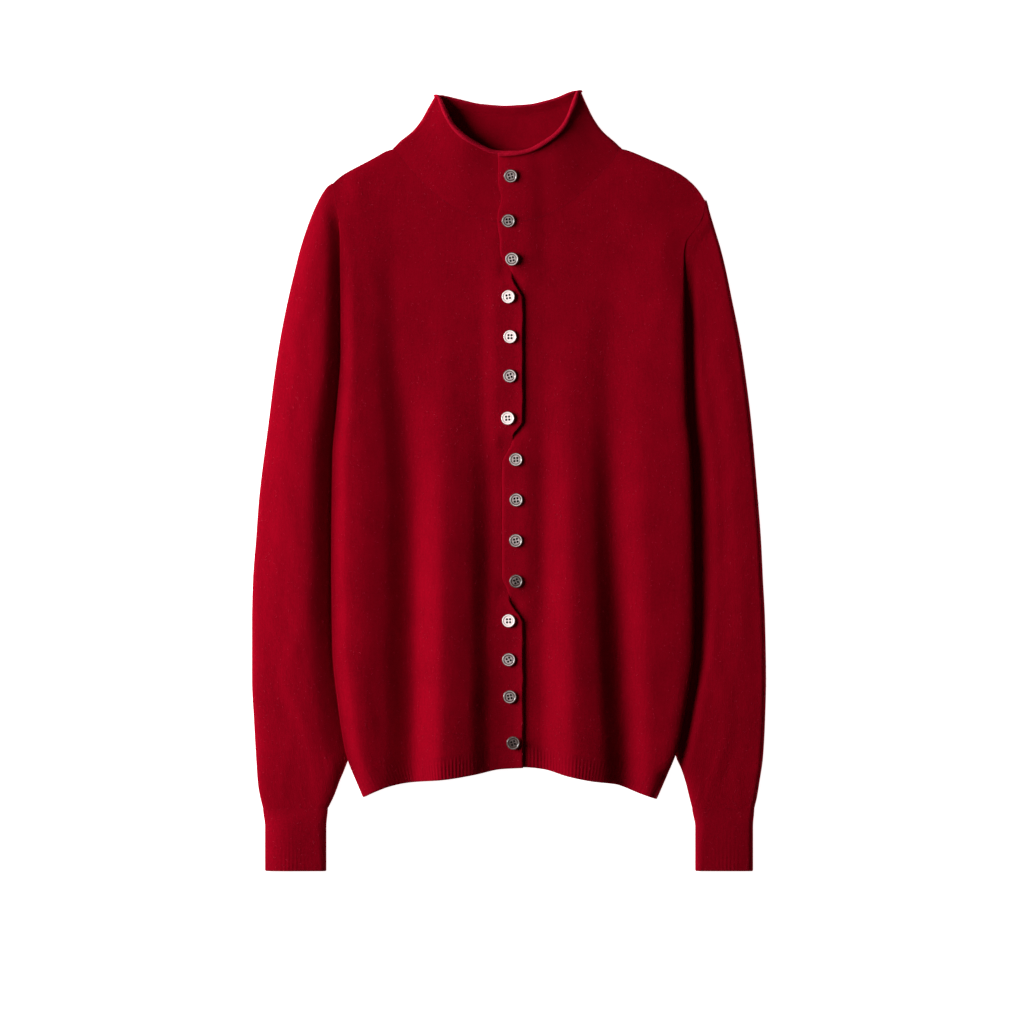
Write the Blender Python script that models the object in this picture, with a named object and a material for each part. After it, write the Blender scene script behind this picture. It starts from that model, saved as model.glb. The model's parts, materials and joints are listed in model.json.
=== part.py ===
"""Button cardigan in fine knit, laid flat on its back with the sleeves beside the body.

Metres, +Z up. The neck points to +Y, the front of the garment faces up, and the wearer's left is +X.
The origin is under the middle of the garment, on the surface that it lies on.

Tables are in millimetres. In a side's tables, "out" is the distance from the centre line towards
that side, and "y" runs from the hem, below zero, to the neck, above zero.
"""

import math

import bmesh
import bpy
import numpy as np
from mathutils import Matrix, Vector
from mathutils.bvhtree import BVHTree

MM = 0.001

# Cloth
WALL = 2.0  # thickness of the knit
SEAM = 0.3  # gap between pieces at a seam
LAYER = WALL + 0.35  # from one layer's middle to the next one's, lying on it
FLOOR = WALL / 2  # middle of a layer that lies on the surface

# Body
HEM_BAND = 21.0
NECK_HALF = {"right": 106.0, "left": 102.0}
NECK_TOP = 304.3
NECK_DEPTH = 67.3
BACK_NECK_DEPTH = 14.0
NECK_POWER = 2.2
NECK_CLEAR = 8.0  # past the neck point the shoulder line starts over this
PLACKET_REACH = {"right": -13.0, "left": -8.3}  # "out" of each front's own edge, past the centre line
EDGE_SWAY = 2.4  # a placket edge draws back by this midway between buttons
PLACKET_FLAT = 15.0  # the overlapping strip is level to here
PLACKET_FADE = 36.0  # and a front that lies on top is down on its own level here
CROSSING_GAP = 0.4  # from the crossing's middle to each front's edge
CENTRE_FOOT = -243.7  # where the fronts meet the hem band
CENTRE_HEAD = 237.0  # and the neckline
BACK_FOOT = -241.5
BACK_HEM_FOOT = -263.5
HEM_BOW = 2.2  # power of the curve of the back's lower edge
HEM_SPREAD = 40.0  # the hem bands narrow towards the corners from here out
SEAM_LEVEL = 2.15  # level of the seam between front and back where both lie flat
SIDE_RISE = 7.85  # the side edges lie this much higher, on the sleeves
BACK_RISE = 5.6
SIDE_DROP = 1.3  # how much higher the front lies beside its rounded edge where that is flat
SIDE_DROP_RAISED = 4.9  # and this more where it is lifted
SIDE_ROUND = 14.0  # width over which the front rounds down to the side edge
SHOULDER_ROUND = 10.0  # and down to the shoulder line
SHOULDER_STEP = WALL / 2 + 0.15  # level of the front's middle over the shoulder seam
FLAT_STEP = WALL / 2 + 0.1  # and over the side seam where front and back lie flat
UNDER_ROUND = 9.0  # and the back rounds up to it
BACK_SLOPE = (10.0, 26.0)  # the lifted part of the back comes down to the surface between these

# The fronts change places three times down the placket, each time between two buttons. Their edges
# meet at the crossing, close to the left front's own edge, so the right front's edge slants there.
CROSSINGS = (  # y, x of the crossing, whether the left front lies on top above it
    (190.0, -5.0, True),
    (24.0, -5.5, False),
    (-103.5, -5.2, True),
)
PINCH_HALF = 4.5  # the edges run side by side to here above and below a crossing
LEVEL_HALF = 3.3  # and the fronts have changed places by here
PINCH_END = {"right": 22.0, "left": 14.0}  # and are back at their full overlap here
CROSSING_SOFT = 30.0  # beside the placket the change of level is spread over this to each side

ROWS = (  # y of each row of the body's grid at the centre line, and whether the back has that row
    (-243.7, 1), (-234, 1), (-220, 1), (-195, 1), (-160, 1),
    (-125.5, 0), (-115, 0), (-108, 1), (-103.5, 0), (-99, 0), (-92, 0), (-81.5, 0),
    (-60, 1), (-28, 0),
    (2, 1), (12.5, 0), (19.5, 0), (24, 1), (28.5, 0), (35.5, 0), (46, 0),
    (72, 1), (104, 0), (136, 1),
    (168, 0), (178.5, 0), (185.5, 1), (190, 0), (194.5, 0), (201.5, 1), (212, 0),
    (222, 1), (230, 1), (237, 1),
)

SIDE_LINE = {  # y, out: the fold edge of the body, from the hem band up to the shoulder point
    "right": (
        (-291.9, 133.8), (-271, 142.6), (-248.6, 150.3), (-202.6, 155.0), (-157, 157.7),
        (-71, 159.5), (100, 159.5), (229.8, 159.5), (262, 161.5), (272, 163),
    ),
    "left": (
        (-293.7, 134.7), (-271, 144.2), (-248.6, 153.0), (-202.6, 161.4), (-156.6, 167.8),
        (-110.6, 167.8), (-64.6, 165.0), (-18.6, 164.5), (27.4, 161.0), (120, 160.5),
        (200, 160.8), (214, 164.5), (228.8, 174.5), (246.3, 179.5), (256.5, 180.0),
    ),
}
RAISED_BELOW = {"right": 235.0, "left": 218.0}  # the side edge has its full height from here down
RAISED_ABOVE = -258.0  # to here
DOWN_BELOW = -291.0  # and is down again at the hem's corner

SHOULDER = {  # out, y: from the neck point to the shoulder point
    "right": ((106, 304.3), (112, 302.3), (126.5, 294.2), (144, 285), (155, 279), (163, 272)),
    "left": (
        (102, 304.3), (109, 302.3), (128.3, 294.2), (149.5, 285), (164.2, 275.8),
        (173.4, 266.6), (180, 256.5),
    ),
}

HEM = {  # out, y: lower edge of the front
    "right": (
        (-14, -265), (7.8, -266.1), (29.9, -270.7), (57.5, -275.3), (96, -279),
        (118.2, -284.5), (133.8, -291.9),
    ),
    "left": (
        (-9, -265), (14.3, -264.5), (30.8, -266.1), (52.9, -272.5), (75, -277.1), (97, -279.9),
        (119.1, -288.2), (134.7, -293.7),
    ),
}

# Long folds of the fronts. A row is one crest or trough, running from the chest to the hem: its
# "out" at three heights, and the level of the cloth's middle at six heights.
FOLD_OUT_AT = (-260.0, -30.0, 120.0)
FOLD_LEVEL_AT = (-275.0, -150.0, -30.0, 70.0, 165.0, 270.0)
FOLDS = {
    "right": (  # name, out at hem, waist, chest, then levels from hem to shoulder
        ("placket", (0, 0, 0), (6.2, 6.0, 5.6, 5.2, 5.0, 5.0)),
        ("placket's end", (14, 14, 14), (6.2, 6.0, 5.6, 5.2, 5.0, 5.0)),
        ("inner trough", (22, 21, 21), (4.5, 4.5, 4.6, 4.8, 5.0, 5.0)),
        ("inner crest", (63, 61, 59), (19.0, 17.5, 13.5, 8.5, 5.3, 5.0)),
        ("outer trough", (95, 97, 101), (7.0, 6.8, 6.6, 6.0, 5.3, 5.0)),
        ("outer crest", (136, 137, 138), (16.0, 17.5, 16.0, 13.5, 10.0, 5.5)),
    ),
    "left": (
        ("placket", (0, 0, 0), (6.2, 6.0, 5.6, 5.2, 5.0, 5.0)),
        ("placket's end", (14, 14, 14), (6.2, 6.0, 5.6, 5.2, 5.0, 5.0)),
        ("inner flat", (28, 28, 27), (5.6, 5.4, 5.2, 5.1, 5.0, 5.0)),
        ("inner crest", (59, 58, 56), (19.5, 18.0, 14.0, 9.0, 5.3, 5.0)),
        ("outer trough", (108, 94, 86), (5.4, 5.4, 5.4, 5.4, 5.2, 5.0)),
        ("outer crest", (129, 124, 118), (18.0, 18.5, 16.5, 12.5, 8.5, 5.5)),
    ),
}
BEAD = ((0.0, 0.5), (2.2, 1.2), (4.8, 0.5), (8.5, 0.0))  # rolled placket edge: in from edge, raised by

# Columns of the body's grids
NECK_SHARE = {"right": 0.64, "left": 0.57}  # share across a panel at which its neckline ends
NECK_COLUMNS = (0.16, 0.27, 0.39, 0.51, 0.63, 0.75, 0.88, 1.0)  # shares of the neckline
SHOULDER_COLUMNS = (0.3, 0.6)  # shares from the neck point to the side's columns
SIDE_COLUMNS = (13.0, 7.5, 3.6, 1.2, 0.0)  # distances from a front's side edge
BACK_COLUMNS = (0.0, 0.8, 3.0, 6.0, 10.0, 15.0, 20.5, 26.5)  # distances from the back's side edge
BACK_NECK_COLUMNS = (1.0, 0.72, 0.36, 0.0)  # shares of the back's neckline

# Collar
COLLAR_SIDE = {  # share of its height, out, y: the fold at each side of the funnel neck
    "right": (
        (0, 106, 304.3), (0.2, 96.5, 311.5), (0.4, 85.5, 320.5), (0.6, 78.0, 330.0),
        (0.8, 71.5, 341.5), (1, 63.5, 355.5),
    ),
    "left": (
        (0, 102, 304.3), (0.2, 92.0, 311.5), (0.4, 82.5, 320.0), (0.6, 74.5, 331.0),
        (0.8, 67.5, 345.0), (1, 61.0, 359.8),
    ),
}
COLLAR_TOP = {  # share from the placket to the side, out, y: the front's rolled top edge
    "right": ((0, -11, 302.5), (0.2, 12, 303.5), (0.45, 30, 311), (0.75, 50, 327), (1, 63.5, 355.5)),
    "left": ((0, -10.5, 301.0), (0.2, 12, 303.5), (0.45, 31, 312), (0.75, 48.5, 328), (1, 61, 359.8)),
}
COLLAR_LEVEL = ((0, 9.0), (0.25, 12.0), (0.6, 20.0), (0.85, 19.0), (1, 11.0))  # share, top edge's level
COLLAR_BACK_TOP = 344.0  # y of the back's top edge at the centre
COLLAR_ROWS = (0.0, 0.22, 0.45, 0.68, 0.87, 0.95, 1.0)
COLLAR_ROLL = (0.0, 0.0, 0.0, 0.0, 0.2, 1.2, 0.6)  # the rolled edge stands out by this, row by row
COLLAR_LEAN = 1.15  # power of the rise from the neckline to the top edge
COLLAR_FOLD = 2.6  # how far the side folds bow out
COLLAR_FOLD_TURNS = (65, 35, 0, -35, -65, -90)  # angles of the points round a side fold
COLLAR_BACK_GAP = SEAM + 0.05
COLLAR_BACK_SHARES = (-1.0, -0.88, -0.7, -0.48, -0.24, 0.0, 0.24, 0.48, 0.7, 0.88, 1.0)

# Sleeves
SLEEVE_OUT = {  # y, out: outer edge
    "right": (
        (-302, 225.8), (-291, 228.5), (-279.9, 230.4), (-254.2, 232.2), (-221, 234.1),
        (-184, 235.9), (-130, 235.9), (-92.2, 235.0), (-55.4, 232.2), (-18.6, 229.5),
        (55, 220.3), (91.8, 215.7), (128.6, 210.1), (165.4, 202.8), (193, 196.3),
        (211.4, 191.7), (239, 182.5), (257.4, 174.3), (266.6, 168.7), (272, 164.0),
    ),
    "left": (
        (-302, 224.2), (-291, 226.8), (-279.9, 228.6), (-254.2, 232.3), (-221, 234.1),
        (-184, 235.0), (-130, 234.1), (-92.2, 232.2), (-55.4, 230.4), (-18.6, 227.6),
        (55, 221.2), (91.8, 216.6), (128.6, 211.1), (165.4, 203.7), (193, 198.0),
        (211.4, 193.5), (229.8, 188.0), (248.2, 182.6), (256.5, 180.6),
    ),
}
SLEEVE_IN = {  # y, out: inner edge, under the body down to the notch beside the hem
    "right": (
        (-302, 168.0), (-291, 162.5), (-276.2, 156.9), (-265.2, 152.3), (-250, 147.5),
        (-215, 146.5), (-150, 149), (0, 151), (130, 151),
    ),
    "left": (
        (-302, 168.9), (-291, 166.1), (-279.9, 163.4), (-265.2, 158.8), (-255.1, 154.2),
        (-240, 151), (-200, 152.5), (-150, 157), (-60, 157), (0, 155), (130, 152),
    ),
}
SLEEVE_ROWS = (  # share of the way from the shoulder point to the cuff: at the outer, the inner edge
    (0.0, 0.0), (0.016, 0.008), (0.04, 0.02), (0.07, 0.035), (0.11, 0.055), (0.16, 0.08),
    (0.22, 0.12), (0.29, 0.17), (0.37, 0.24), (0.45, 0.34), (0.54, 0.45), (0.63, 0.57),
    (0.72, 0.68), (0.80, 0.775), (0.87, 0.86), (0.925, 0.92), (0.965, 0.963), (1.0, 1.0),
)
ARMPIT = 130.0  # y of the armhole's lower end, under the body
ARMHOLE_GAP = SEAM + 0.2
ARMHOLE_FADE = 0.2  # the sleeve's rows follow the armhole's curve over this share of its length
# Columns of a sleeve: distances from its edges, and shares of the width between those
UPPER_FROM_OUT = (0.0, 1.2, 4.5, 11.0)
UPPER_SHARES = (0.11, 0.22, 0.38, 0.55, 0.71, 0.85)
UPPER_FROM_IN = (4.0, 1.2, 0.0)
LOWER_FROM_IN = (1.2, 4.5)
LOWER_SHARES = (0.62, 0.25, 0.13)
LOWER_FROM_OUT = (4.5, 1.2)
CUFF_SEAM = -302.0
CUFF_END = -359.9
CUFF_OUT = {"right": (225.8, 223.9), "left": (224.2, 223.0)}  # at the seam, at the end
CUFF_IN = {"right": (168.0, 170.7), "left": (168.9, 171.7)}
CUFF_ROWS = (0.0, 0.18, 0.6, 1.0)
CUFF_WAIST = 0.288  # share of the cuff over which it draws in
CUFF_EDGE = (1.2, 4.5)  # columns beside a cuff's outer edge
CUFF_INNER_EDGE = (1.2, 4.0)
EDGE_LEVEL = 2.6  # level of a sleeve's folded edges
UNDER_EDGE = 2.6  # width over which the lower layer rounds up to them
OUTER_EDGE = 13.0  # and the upper layer down to the outer one
INNER_EDGE = 3.0  # and to the inner one
TUCKED_LEVEL = 4.2  # upper layer's level where it lies under the body
SLEEVE_LEVEL = ((-302, 7.8), (-280, 8.4), (-200, 10.2), (80, 10.4), (200, 8.0), (240, 6.2), (275, 4.2))
TUCK_LENGTH = 32.0  # the armhole passes under the body's edge over this length
TUCK_END = 3.0  # the upper layer stays low to here outside the body's edge
TUCK_RISE = 27.0  # and is at its full level here
CUFF_LEVEL = 7.8

RIB_PITCH = 2.5
RIB_HEIGHT = 0.5

# Buttons, from the collar down: x, y, tilt about the x and y axes in degrees, turn in degrees
BUTTON_ACROSS = 12.6
BUTTON_THICK = 2.2
BUTTON_RIM = 1.5
BUTTON_UNDERCUT = 0.9
BUTTON_SLOPE = 0.6
BUTTON_DISH = 0.7
BUTTON_SEGMENTS = 12
BUTTON_HOLE = 1.5
BUTTON_LIFT = SEAM + 0.05
HOLE_CIRCLE = 3.4  # distance between the holes' centres, corner to corner
BUTTONS = (
    (0.8, 279.2, 2, 9, 8), (-1.5, 238.0, 4, 8, 12), (2.3, 202.8, 3, -7, 20), (-0.9, 168.3, 2, -4, 15),
    (0.6, 131.4, 0, -3, 8), (0.2, 95.3, 0, 3, 20), (-1.5, 56.5, 1, -4, 10), (5.6, 18.4, 2, 4, 0),
    (6.0, -18.6, 0, 2, 5), (5.7, -56.0, 1, 3, 12), (5.9, -93.3, 0, 2, 20), (-0.7, -129.6, 1, -4, 12),
    (-0.8, -165.4, 0, 3, 30), (0.2, -199.5, 2, 4, 8), (3.1, -241.7, 4, 8, 20),
)

SHARP = 40.0  # degrees between two faces from which their edge is sharp
SIGN = {"right": -1.0, "left": 1.0}
COLOURS = {  # linear red, green, blue, then roughness
    "knit": (0.222, 0.0012, 0.0075, 0.95),
    "rib": (0.200, 0.0016, 0.0085, 0.95),
    "shell": (0.46, 0.38, 0.37, 0.30),
}


# ---------------------------------------------------------------- curves


def smooth(knots, values, at):
    """Height at "at" of the curve through the knots, whose crests and troughs are all at knots."""
    knots, values = np.asarray(knots, float), np.asarray(values, float)
    at = np.clip(np.asarray(at, float), knots[0], knots[-1])
    step = np.diff(knots)
    rise = np.diff(values) / step
    slope = np.concatenate([rise[:1], np.zeros(len(rise) - 1), rise[-1:]])
    both = rise[:-1] * rise[1:]
    same = both > 0
    slope[1:-1][same] = 2 * both[same] / (rise[:-1] + rise[1:])[same]
    i = np.clip(np.searchsorted(knots, at, side="right") - 1, 0, len(step) - 1)
    u = (at - knots[i]) / step[i]
    ends = values[i] * (1 + 2 * u) * (1 - u) ** 2 + values[i + 1] * u * u * (3 - 2 * u)
    return ends + step[i] * (slope[i] * u * (1 - u) ** 2 - slope[i + 1] * u * u * (1 - u))


def along(table, at, column=1):
    """A table's column at a value of its first column, on a smooth curve."""
    rows = np.array(table, float)
    return smooth(rows[:, 0], rows[:, column], at)


def ramp(value, start, end):
    """0 before start, 1 past end, and a soft S between them."""
    u = np.clip((np.asarray(value, float) - start) / (end - start), 0, 1)
    return u * u * (3 - 2 * u)


def rounded(share):
    """Quarter of a circle: 0 at 0, 1 from 1 on, and upright at 0."""
    return np.sqrt(1 - (1 - np.clip(share, 0, 1)) ** 2)


def mix(a, b, share):
    return a + (b - a) * share


def unit(vectors):
    return vectors / np.maximum(np.linalg.norm(vectors, axis=-1, keepdims=True), 1e-9)


def resampled(points, at):
    """Points of a polyline at the given shares of its length across, each on one of its chords."""
    run = np.concatenate([[0], np.cumsum(np.linalg.norm(np.diff(points, axis=0), axis=1))])
    return np.stack([np.interp(at * run[-1], run, points[:, k]) for k in range(3)], axis=-1)


# ---------------------------------------------------------------- walls


def grid_normals(mid, loop):
    """Unit normals of a grid of points, (row, column, xyz)."""
    if loop:
        across = np.roll(mid, -1, axis=1) - np.roll(mid, 1, axis=1)
    else:
        across = np.gradient(mid, axis=1)
    down = np.gradient(mid, axis=0)
    return unit(np.cross(unit(across), unit(down)))


def squared(normals, points):
    """Normals of an edge row, turned so that the cloth's edge there is cut upright."""
    flat = np.gradient(points, axis=0)[:, :2]
    length = np.linalg.norm(flat, axis=1, keepdims=True)
    off = np.stack([-flat[:, 1], flat[:, 0]], axis=1) / np.maximum(length, 1e-9)
    step = np.linalg.norm(np.gradient(points, axis=0), axis=1, keepdims=True)
    off = np.where(length > 0.5 * step, off, np.array([[0.0, 1.0]]))
    off = np.concatenate([off, np.zeros((len(off), 1))], axis=1)
    return unit(normals - (normals * off).sum(1, keepdims=True) * off)


def wall(mid, up=True, loop=False, raised=0.0, square=(True, True)):
    """Outer and inner points of a cloth wall about a grid of middle points."""
    normals = grid_normals(mid, loop)
    if loop:
        centre = mid.mean(axis=1, keepdims=True)
        turned = (normals * (mid - centre)).sum() < 0
    else:
        turned = (normals[..., 2].sum() < 0) == up
    if turned:
        normals = -normals
    for row, cut in zip((0, -1), square):
        if cut:
            normals[row] = squared(normals[row], mid[row])
    outer = mid + normals * (WALL / 2 + np.asarray(raised))[..., None]
    return outer, mid - normals * (WALL / 2)


def shell(name, outer, inner, material, loop=False):
    """One closed solid between two grids of points."""
    rows, columns = outer.shape[:2]
    points = np.concatenate([outer.reshape(-1, 3), inner.reshape(-1, 3)]) * MM
    under = rows * columns

    def at(r, c):
        return r * columns + c % columns

    faces = []
    for r in range(rows - 1):
        for c in range(columns if loop else columns - 1):
            quad = (at(r, c), at(r, c + 1), at(r + 1, c + 1), at(r + 1, c))
            faces += [quad, tuple(under + i for i in reversed(quad))]
    edge = [(at(0, c), at(0, c + 1)) for c in range(columns if loop else columns - 1)]
    edge += [(at(rows - 1, c + 1), at(rows - 1, c)) for c in range(columns if loop else columns - 1)]
    if not loop:
        edge += [(at(r + 1, 0), at(r, 0)) for r in range(rows - 1)]
        edge += [(at(r, columns - 1), at(r + 1, columns - 1)) for r in range(rows - 1)]
    faces += [(b, a, under + a, under + b) for a, b in edge]
    return add(name, points, faces, material)


def add(name, points, faces, material):
    mesh = bpy.data.meshes.new(name)
    mesh.from_pydata([tuple(p) for p in points], [], faces)
    work = bmesh.new()
    work.from_mesh(mesh)
    if work.calc_volume(signed=True) < 0:
        bmesh.ops.reverse_faces(work, faces=work.faces)
    bmesh.ops.triangulate(work, faces=work.faces)
    work.to_mesh(mesh)
    work.free()
    mesh.shade_smooth()
    mesh.set_sharp_from_angle(angle=math.radians(SHARP))
    mesh.materials.append(material)
    piece = bpy.data.objects.new(name, mesh)
    bpy.context.collection.objects.link(piece)
    return piece


def finish(name, kind):
    red, green, blue, roughness = COLOURS[kind]
    material = bpy.data.materials.new(name + "_finish")
    material.use_nodes = True
    shader = material.node_tree.nodes["Principled BSDF"]
    shader.inputs["Base Color"].default_value = (red, green, blue, 1)
    shader.inputs["Roughness"].default_value = roughness
    shader.inputs["Metallic"].default_value = 0.0
    return material


# ---------------------------------------------------------------- body


def raised(side, y):
    """How far the side edge is lifted by the sleeve under it, from 0 to 1."""
    shoulder = SIDE_LINE[side][-1][0]
    return (1 - ramp(y, RAISED_BELOW[side], shoulder)) * ramp(y, DOWN_BELOW, RAISED_ABOVE)


def turned_over(side, y):
    """0 where front and back lie flat on each other at the edge, 1 where their edges meet face to face."""
    return np.minimum(raised(side, y) / 0.4, 1)


def seam_level(side, y):
    return SEAM_LEVEL + SIDE_RISE * raised(side, y)


def side_out(side, y):
    return along(SIDE_LINE[side], y)


def hem_y(side, out):
    return along(HEM[side], out)


def neckline(side, share, depth):
    """Out and y on the neckline, from the centre, 0, to the neck point, 1."""
    start = PLACKET_REACH[side] if depth == NECK_DEPTH else 0.0
    out = mix(start, NECK_HALF[side], share)
    drop = depth * (1 - np.abs(out / NECK_HALF[side]) ** NECK_POWER)
    return out, NECK_TOP - drop


def nearest_crossing(y):
    gaps = [abs(y - crossing[0]) for crossing in CROSSINGS]
    return CROSSINGS[int(np.argmin(gaps))]


def pinched(side, y):
    """1 where two front edges pass each other, 0 where they overlap in full."""
    return 1 - ramp(abs(y - nearest_crossing(y)[0]), PINCH_HALF, PINCH_END[side])


def on_top(side, y, half=LEVEL_HALF):
    """1 where this front lies on the other one, 0 where it lies under it."""
    left = 1.0
    for crossing_y, _, left_above in CROSSINGS:
        below = 1 - ramp(y, crossing_y - half, crossing_y + half)
        left = mix(left, 0.0 if left_above else 1.0, below)
    return left if side == "left" else 1 - left


def placket_edge(side, y):
    """Out of a front's own edge."""
    heights = [button[1] for button in BUTTONS]
    above = min((h for h in heights if h >= y), default=y)
    below = max((h for h in heights if h < y), default=y)
    midway = math.sin(math.pi * (y - below) / (above - below)) ** 2 if above > below else 0.0
    reach = PLACKET_REACH[side] + EDGE_SWAY * midway * on_top(side, y)
    crossing = SIGN[side] * nearest_crossing(y)[1] + CROSSING_GAP
    return mix(reach, crossing, pinched(side, y))


def fold_level(side, out, y):
    """Level of the front's middle over the plan, before its edges are rounded down."""
    y = float(y)
    fold_at = [float(smooth(FOLD_OUT_AT, places, y)) for _, places, _ in FOLDS[side]]
    levels = [float(smooth(FOLD_LEVEL_AT, heights, y)) for _, _, heights in FOLDS[side]]
    edge_rise = SIDE_DROP + SIDE_DROP_RAISED * float(raised(side, y))
    fold_at.append(float(side_out(side, y)))
    levels.append(float(seam_level(side, y)) + edge_rise)
    return float(smooth(fold_at, levels, max(out, 0.0)))


def front_level(side, out, y, from_side, from_top, past_neck):
    """Level of the front's middle, with its edges."""
    level = fold_level(side, out, y)
    lift = mix(on_top(side, y), on_top(side, y, CROSSING_SOFT), ramp(out, PLACKET_FLAT / 2, PLACKET_FLAT))
    level += float(LAYER * lift * (1 - ramp(out, PLACKET_FLAT, PLACKET_FADE)))
    edge = seam_level(side, y) + FLAT_STEP * (1 - turned_over(side, y))
    level = mix(edge, level, rounded(from_side / SIDE_ROUND))
    drop = ramp(past_neck, 0, NECK_CLEAR) * (1 - rounded(from_top / SHOULDER_ROUND))
    return float(mix(level, SEAM_LEVEL + SHOULDER_STEP, drop))


def top_edge(side, share, depth, columns_to_neck):
    """Out and y on the top edge: the neckline, then the shoulder line."""
    if share <= columns_to_neck:
        return neckline(side, share / columns_to_neck, depth)
    rows = np.array(SHOULDER[side], float)
    out = mix(rows[0, 0], rows[-1, 0], (share - columns_to_neck) / (1 - columns_to_neck))
    return out, along(SHOULDER[side], out)


def body_plan(side, s, t, front):
    """Out and y of the panel at shares s, from the centre to the side, and t, from hem band to top."""
    depth = NECK_DEPTH if front else BACK_NECK_DEPTH
    centre_foot = CENTRE_FOOT if front else BACK_FOOT
    centre_head = CENTRE_HEAD if front else NECK_TOP - BACK_NECK_DEPTH
    side_foot = SIDE_LINE[side][1][0]
    side_head = SIDE_LINE[side][-1][0]

    def centre(t):
        y = mix(centre_foot, centre_head, t)
        return np.array([placket_edge(side, mix(CENTRE_FOOT, CENTRE_HEAD, t)) if front else 0.0, y])

    def edge(t):
        y = mix(side_foot, side_head, t)
        return np.array([float(side_out(side, y)), y])

    def foot(s):
        start, end = centre(0), edge(0)
        out = mix(start[0], end[0], s)
        if not front:
            return np.array([out, mix(start[1], end[1], s**HEM_BOW)])
        to_start = start[1] - float(hem_y(side, start[0]))
        to_end = end[1] - float(hem_y(side, end[0]))
        return np.array([out, float(hem_y(side, out)) + mix(to_start, to_end, s)])

    def head(s):
        neck = NECK_SHARE[side]
        place = np.array(top_edge(side, s, depth, neck))
        if front:
            first = np.array(neckline(side, 0.0, depth))
            place = place + (centre(1) - first) * (1 - min(s / neck, 1))
        return place

    sway = centre(t) - mix(centre(0), centre(1), t)
    lean = edge(t) - mix(edge(0), edge(1), t)
    return mix(foot(s), head(s), t) + sway * (1 - s) ** 2 + lean * s


def row_share(y):
    return (y - CENTRE_FOOT) / (CENTRE_HEAD - CENTRE_FOOT)


def front_columns(side, t):
    """Shares across a front, with the placket's and the side's columns at their own widths."""
    start, end = body_plan(side, 0.0, t, True), body_plan(side, 1.0, t, True)
    width = end[0] - start[0]
    neck = NECK_SHARE[side]
    shares = [distance / width for distance, _ in BEAD]
    shares += [neck * share for share in NECK_COLUMNS]
    last = 1 - SIDE_COLUMNS[0] / width
    shares += [mix(neck, last, share) for share in SHOULDER_COLUMNS]
    shares += [1 - distance / width for distance in SIDE_COLUMNS]
    return shares, width


def front_grid(side):
    """Middle points of a front, and how much its rolled edge is raised."""
    beads = [row[1] for row in BEAD]
    mid, bead = [], []
    for y_row, _ in ROWS:
        t = row_share(y_row)
        shares, width = front_columns(side, t)
        line, rolls = [], []
        for column, s in enumerate(shares):
            out, y = body_plan(side, s, t, True)
            top = body_plan(side, s, 1.0, True)[1]
            level = front_level(side, out, y, (1 - s) * width, top - y, out - NECK_HALF[side])
            line.append((SIGN[side] * out, y, level))
            rolls.append(beads[column] * on_top(side, y_row) if column < len(beads) else 0.0)
        mid.append(line)
        bead.append(rolls)
    return np.array(mid), np.array(bead)


def make_front(side):
    mid, bead = front_grid(side)
    outer, inner = wall(mid, raised=bead)
    outer, inner = met(side, outer, inner, mid, above=True)
    return shell("front_" + side, outer, inner, finish("front_" + side, "knit")), mid


def met(side, outer, inner, mid, above, column=-1):
    """Ends a panel at the side seam's own level, face to face with the other panel."""
    level = seam_level(side, mid[:, column, 1])
    over = turned_over(side, mid[:, column, 1])
    half = SEAM / 2
    for grid in (outer, inner):
        z = grid[:, column, 2]
        if above:
            grid[:, column, 2] = np.maximum(mix(z, level + half, over), level + half)
        else:
            grid[:, column, 2] = np.minimum(mix(z, level - half, over), level - half)
    return outer, inner


def back_level(side, from_side, y):
    lift = BACK_RISE * float(raised(side, y)) * (1 - float(ramp(from_side, *BACK_SLOPE)))
    edge = seam_level(side, y) - FLAT_STEP * (1 - turned_over(side, y))
    return float(mix(edge, FLOOR + lift, rounded(from_side / UNDER_ROUND)))


def back_half(side):
    """Middle points of the back's half, from the side edge in to the centre line."""
    mid = []
    for y_row, in_back in ROWS:
        if not in_back:
            continue
        t = row_share(y_row)
        width = body_plan(side, 1.0, t, False)[0]
        shares = [1 - distance / width for distance in BACK_COLUMNS]
        shares += [NECK_SHARE[side] * share for share in BACK_NECK_COLUMNS]
        line = []
        for s in shares:
            out, y = body_plan(side, s, t, False)
            line.append((SIGN[side] * out, y, back_level(side, (1 - s) * width, y)))
        mid.append(line)
    return np.array(mid)


def make_back():
    right, left = back_half("right"), back_half("left")
    mid = np.concatenate([right, left[:, -2::-1]], axis=1)
    outer, inner = wall(mid, up=False)
    outer, inner = met("right", outer, inner, mid, above=False, column=0)
    outer, inner = met("left", outer, inner, mid, above=False, column=-1)
    for grid in (outer, inner):
        grid[..., 2] = np.maximum(grid[..., 2], 0.0)
    return shell("back_panel", outer, inner, finish("back_panel", "knit")), mid


# ---------------------------------------------------------------- hem bands


def ribbed(count, out=None):
    """Raised amounts of a row of columns, two to a rib; the placket's strip is plain."""
    ribs = RIB_HEIGHT * (np.arange(count) % 2)
    return ribs if out is None else ribs * (out > PLACKET_FLAT)


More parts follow.
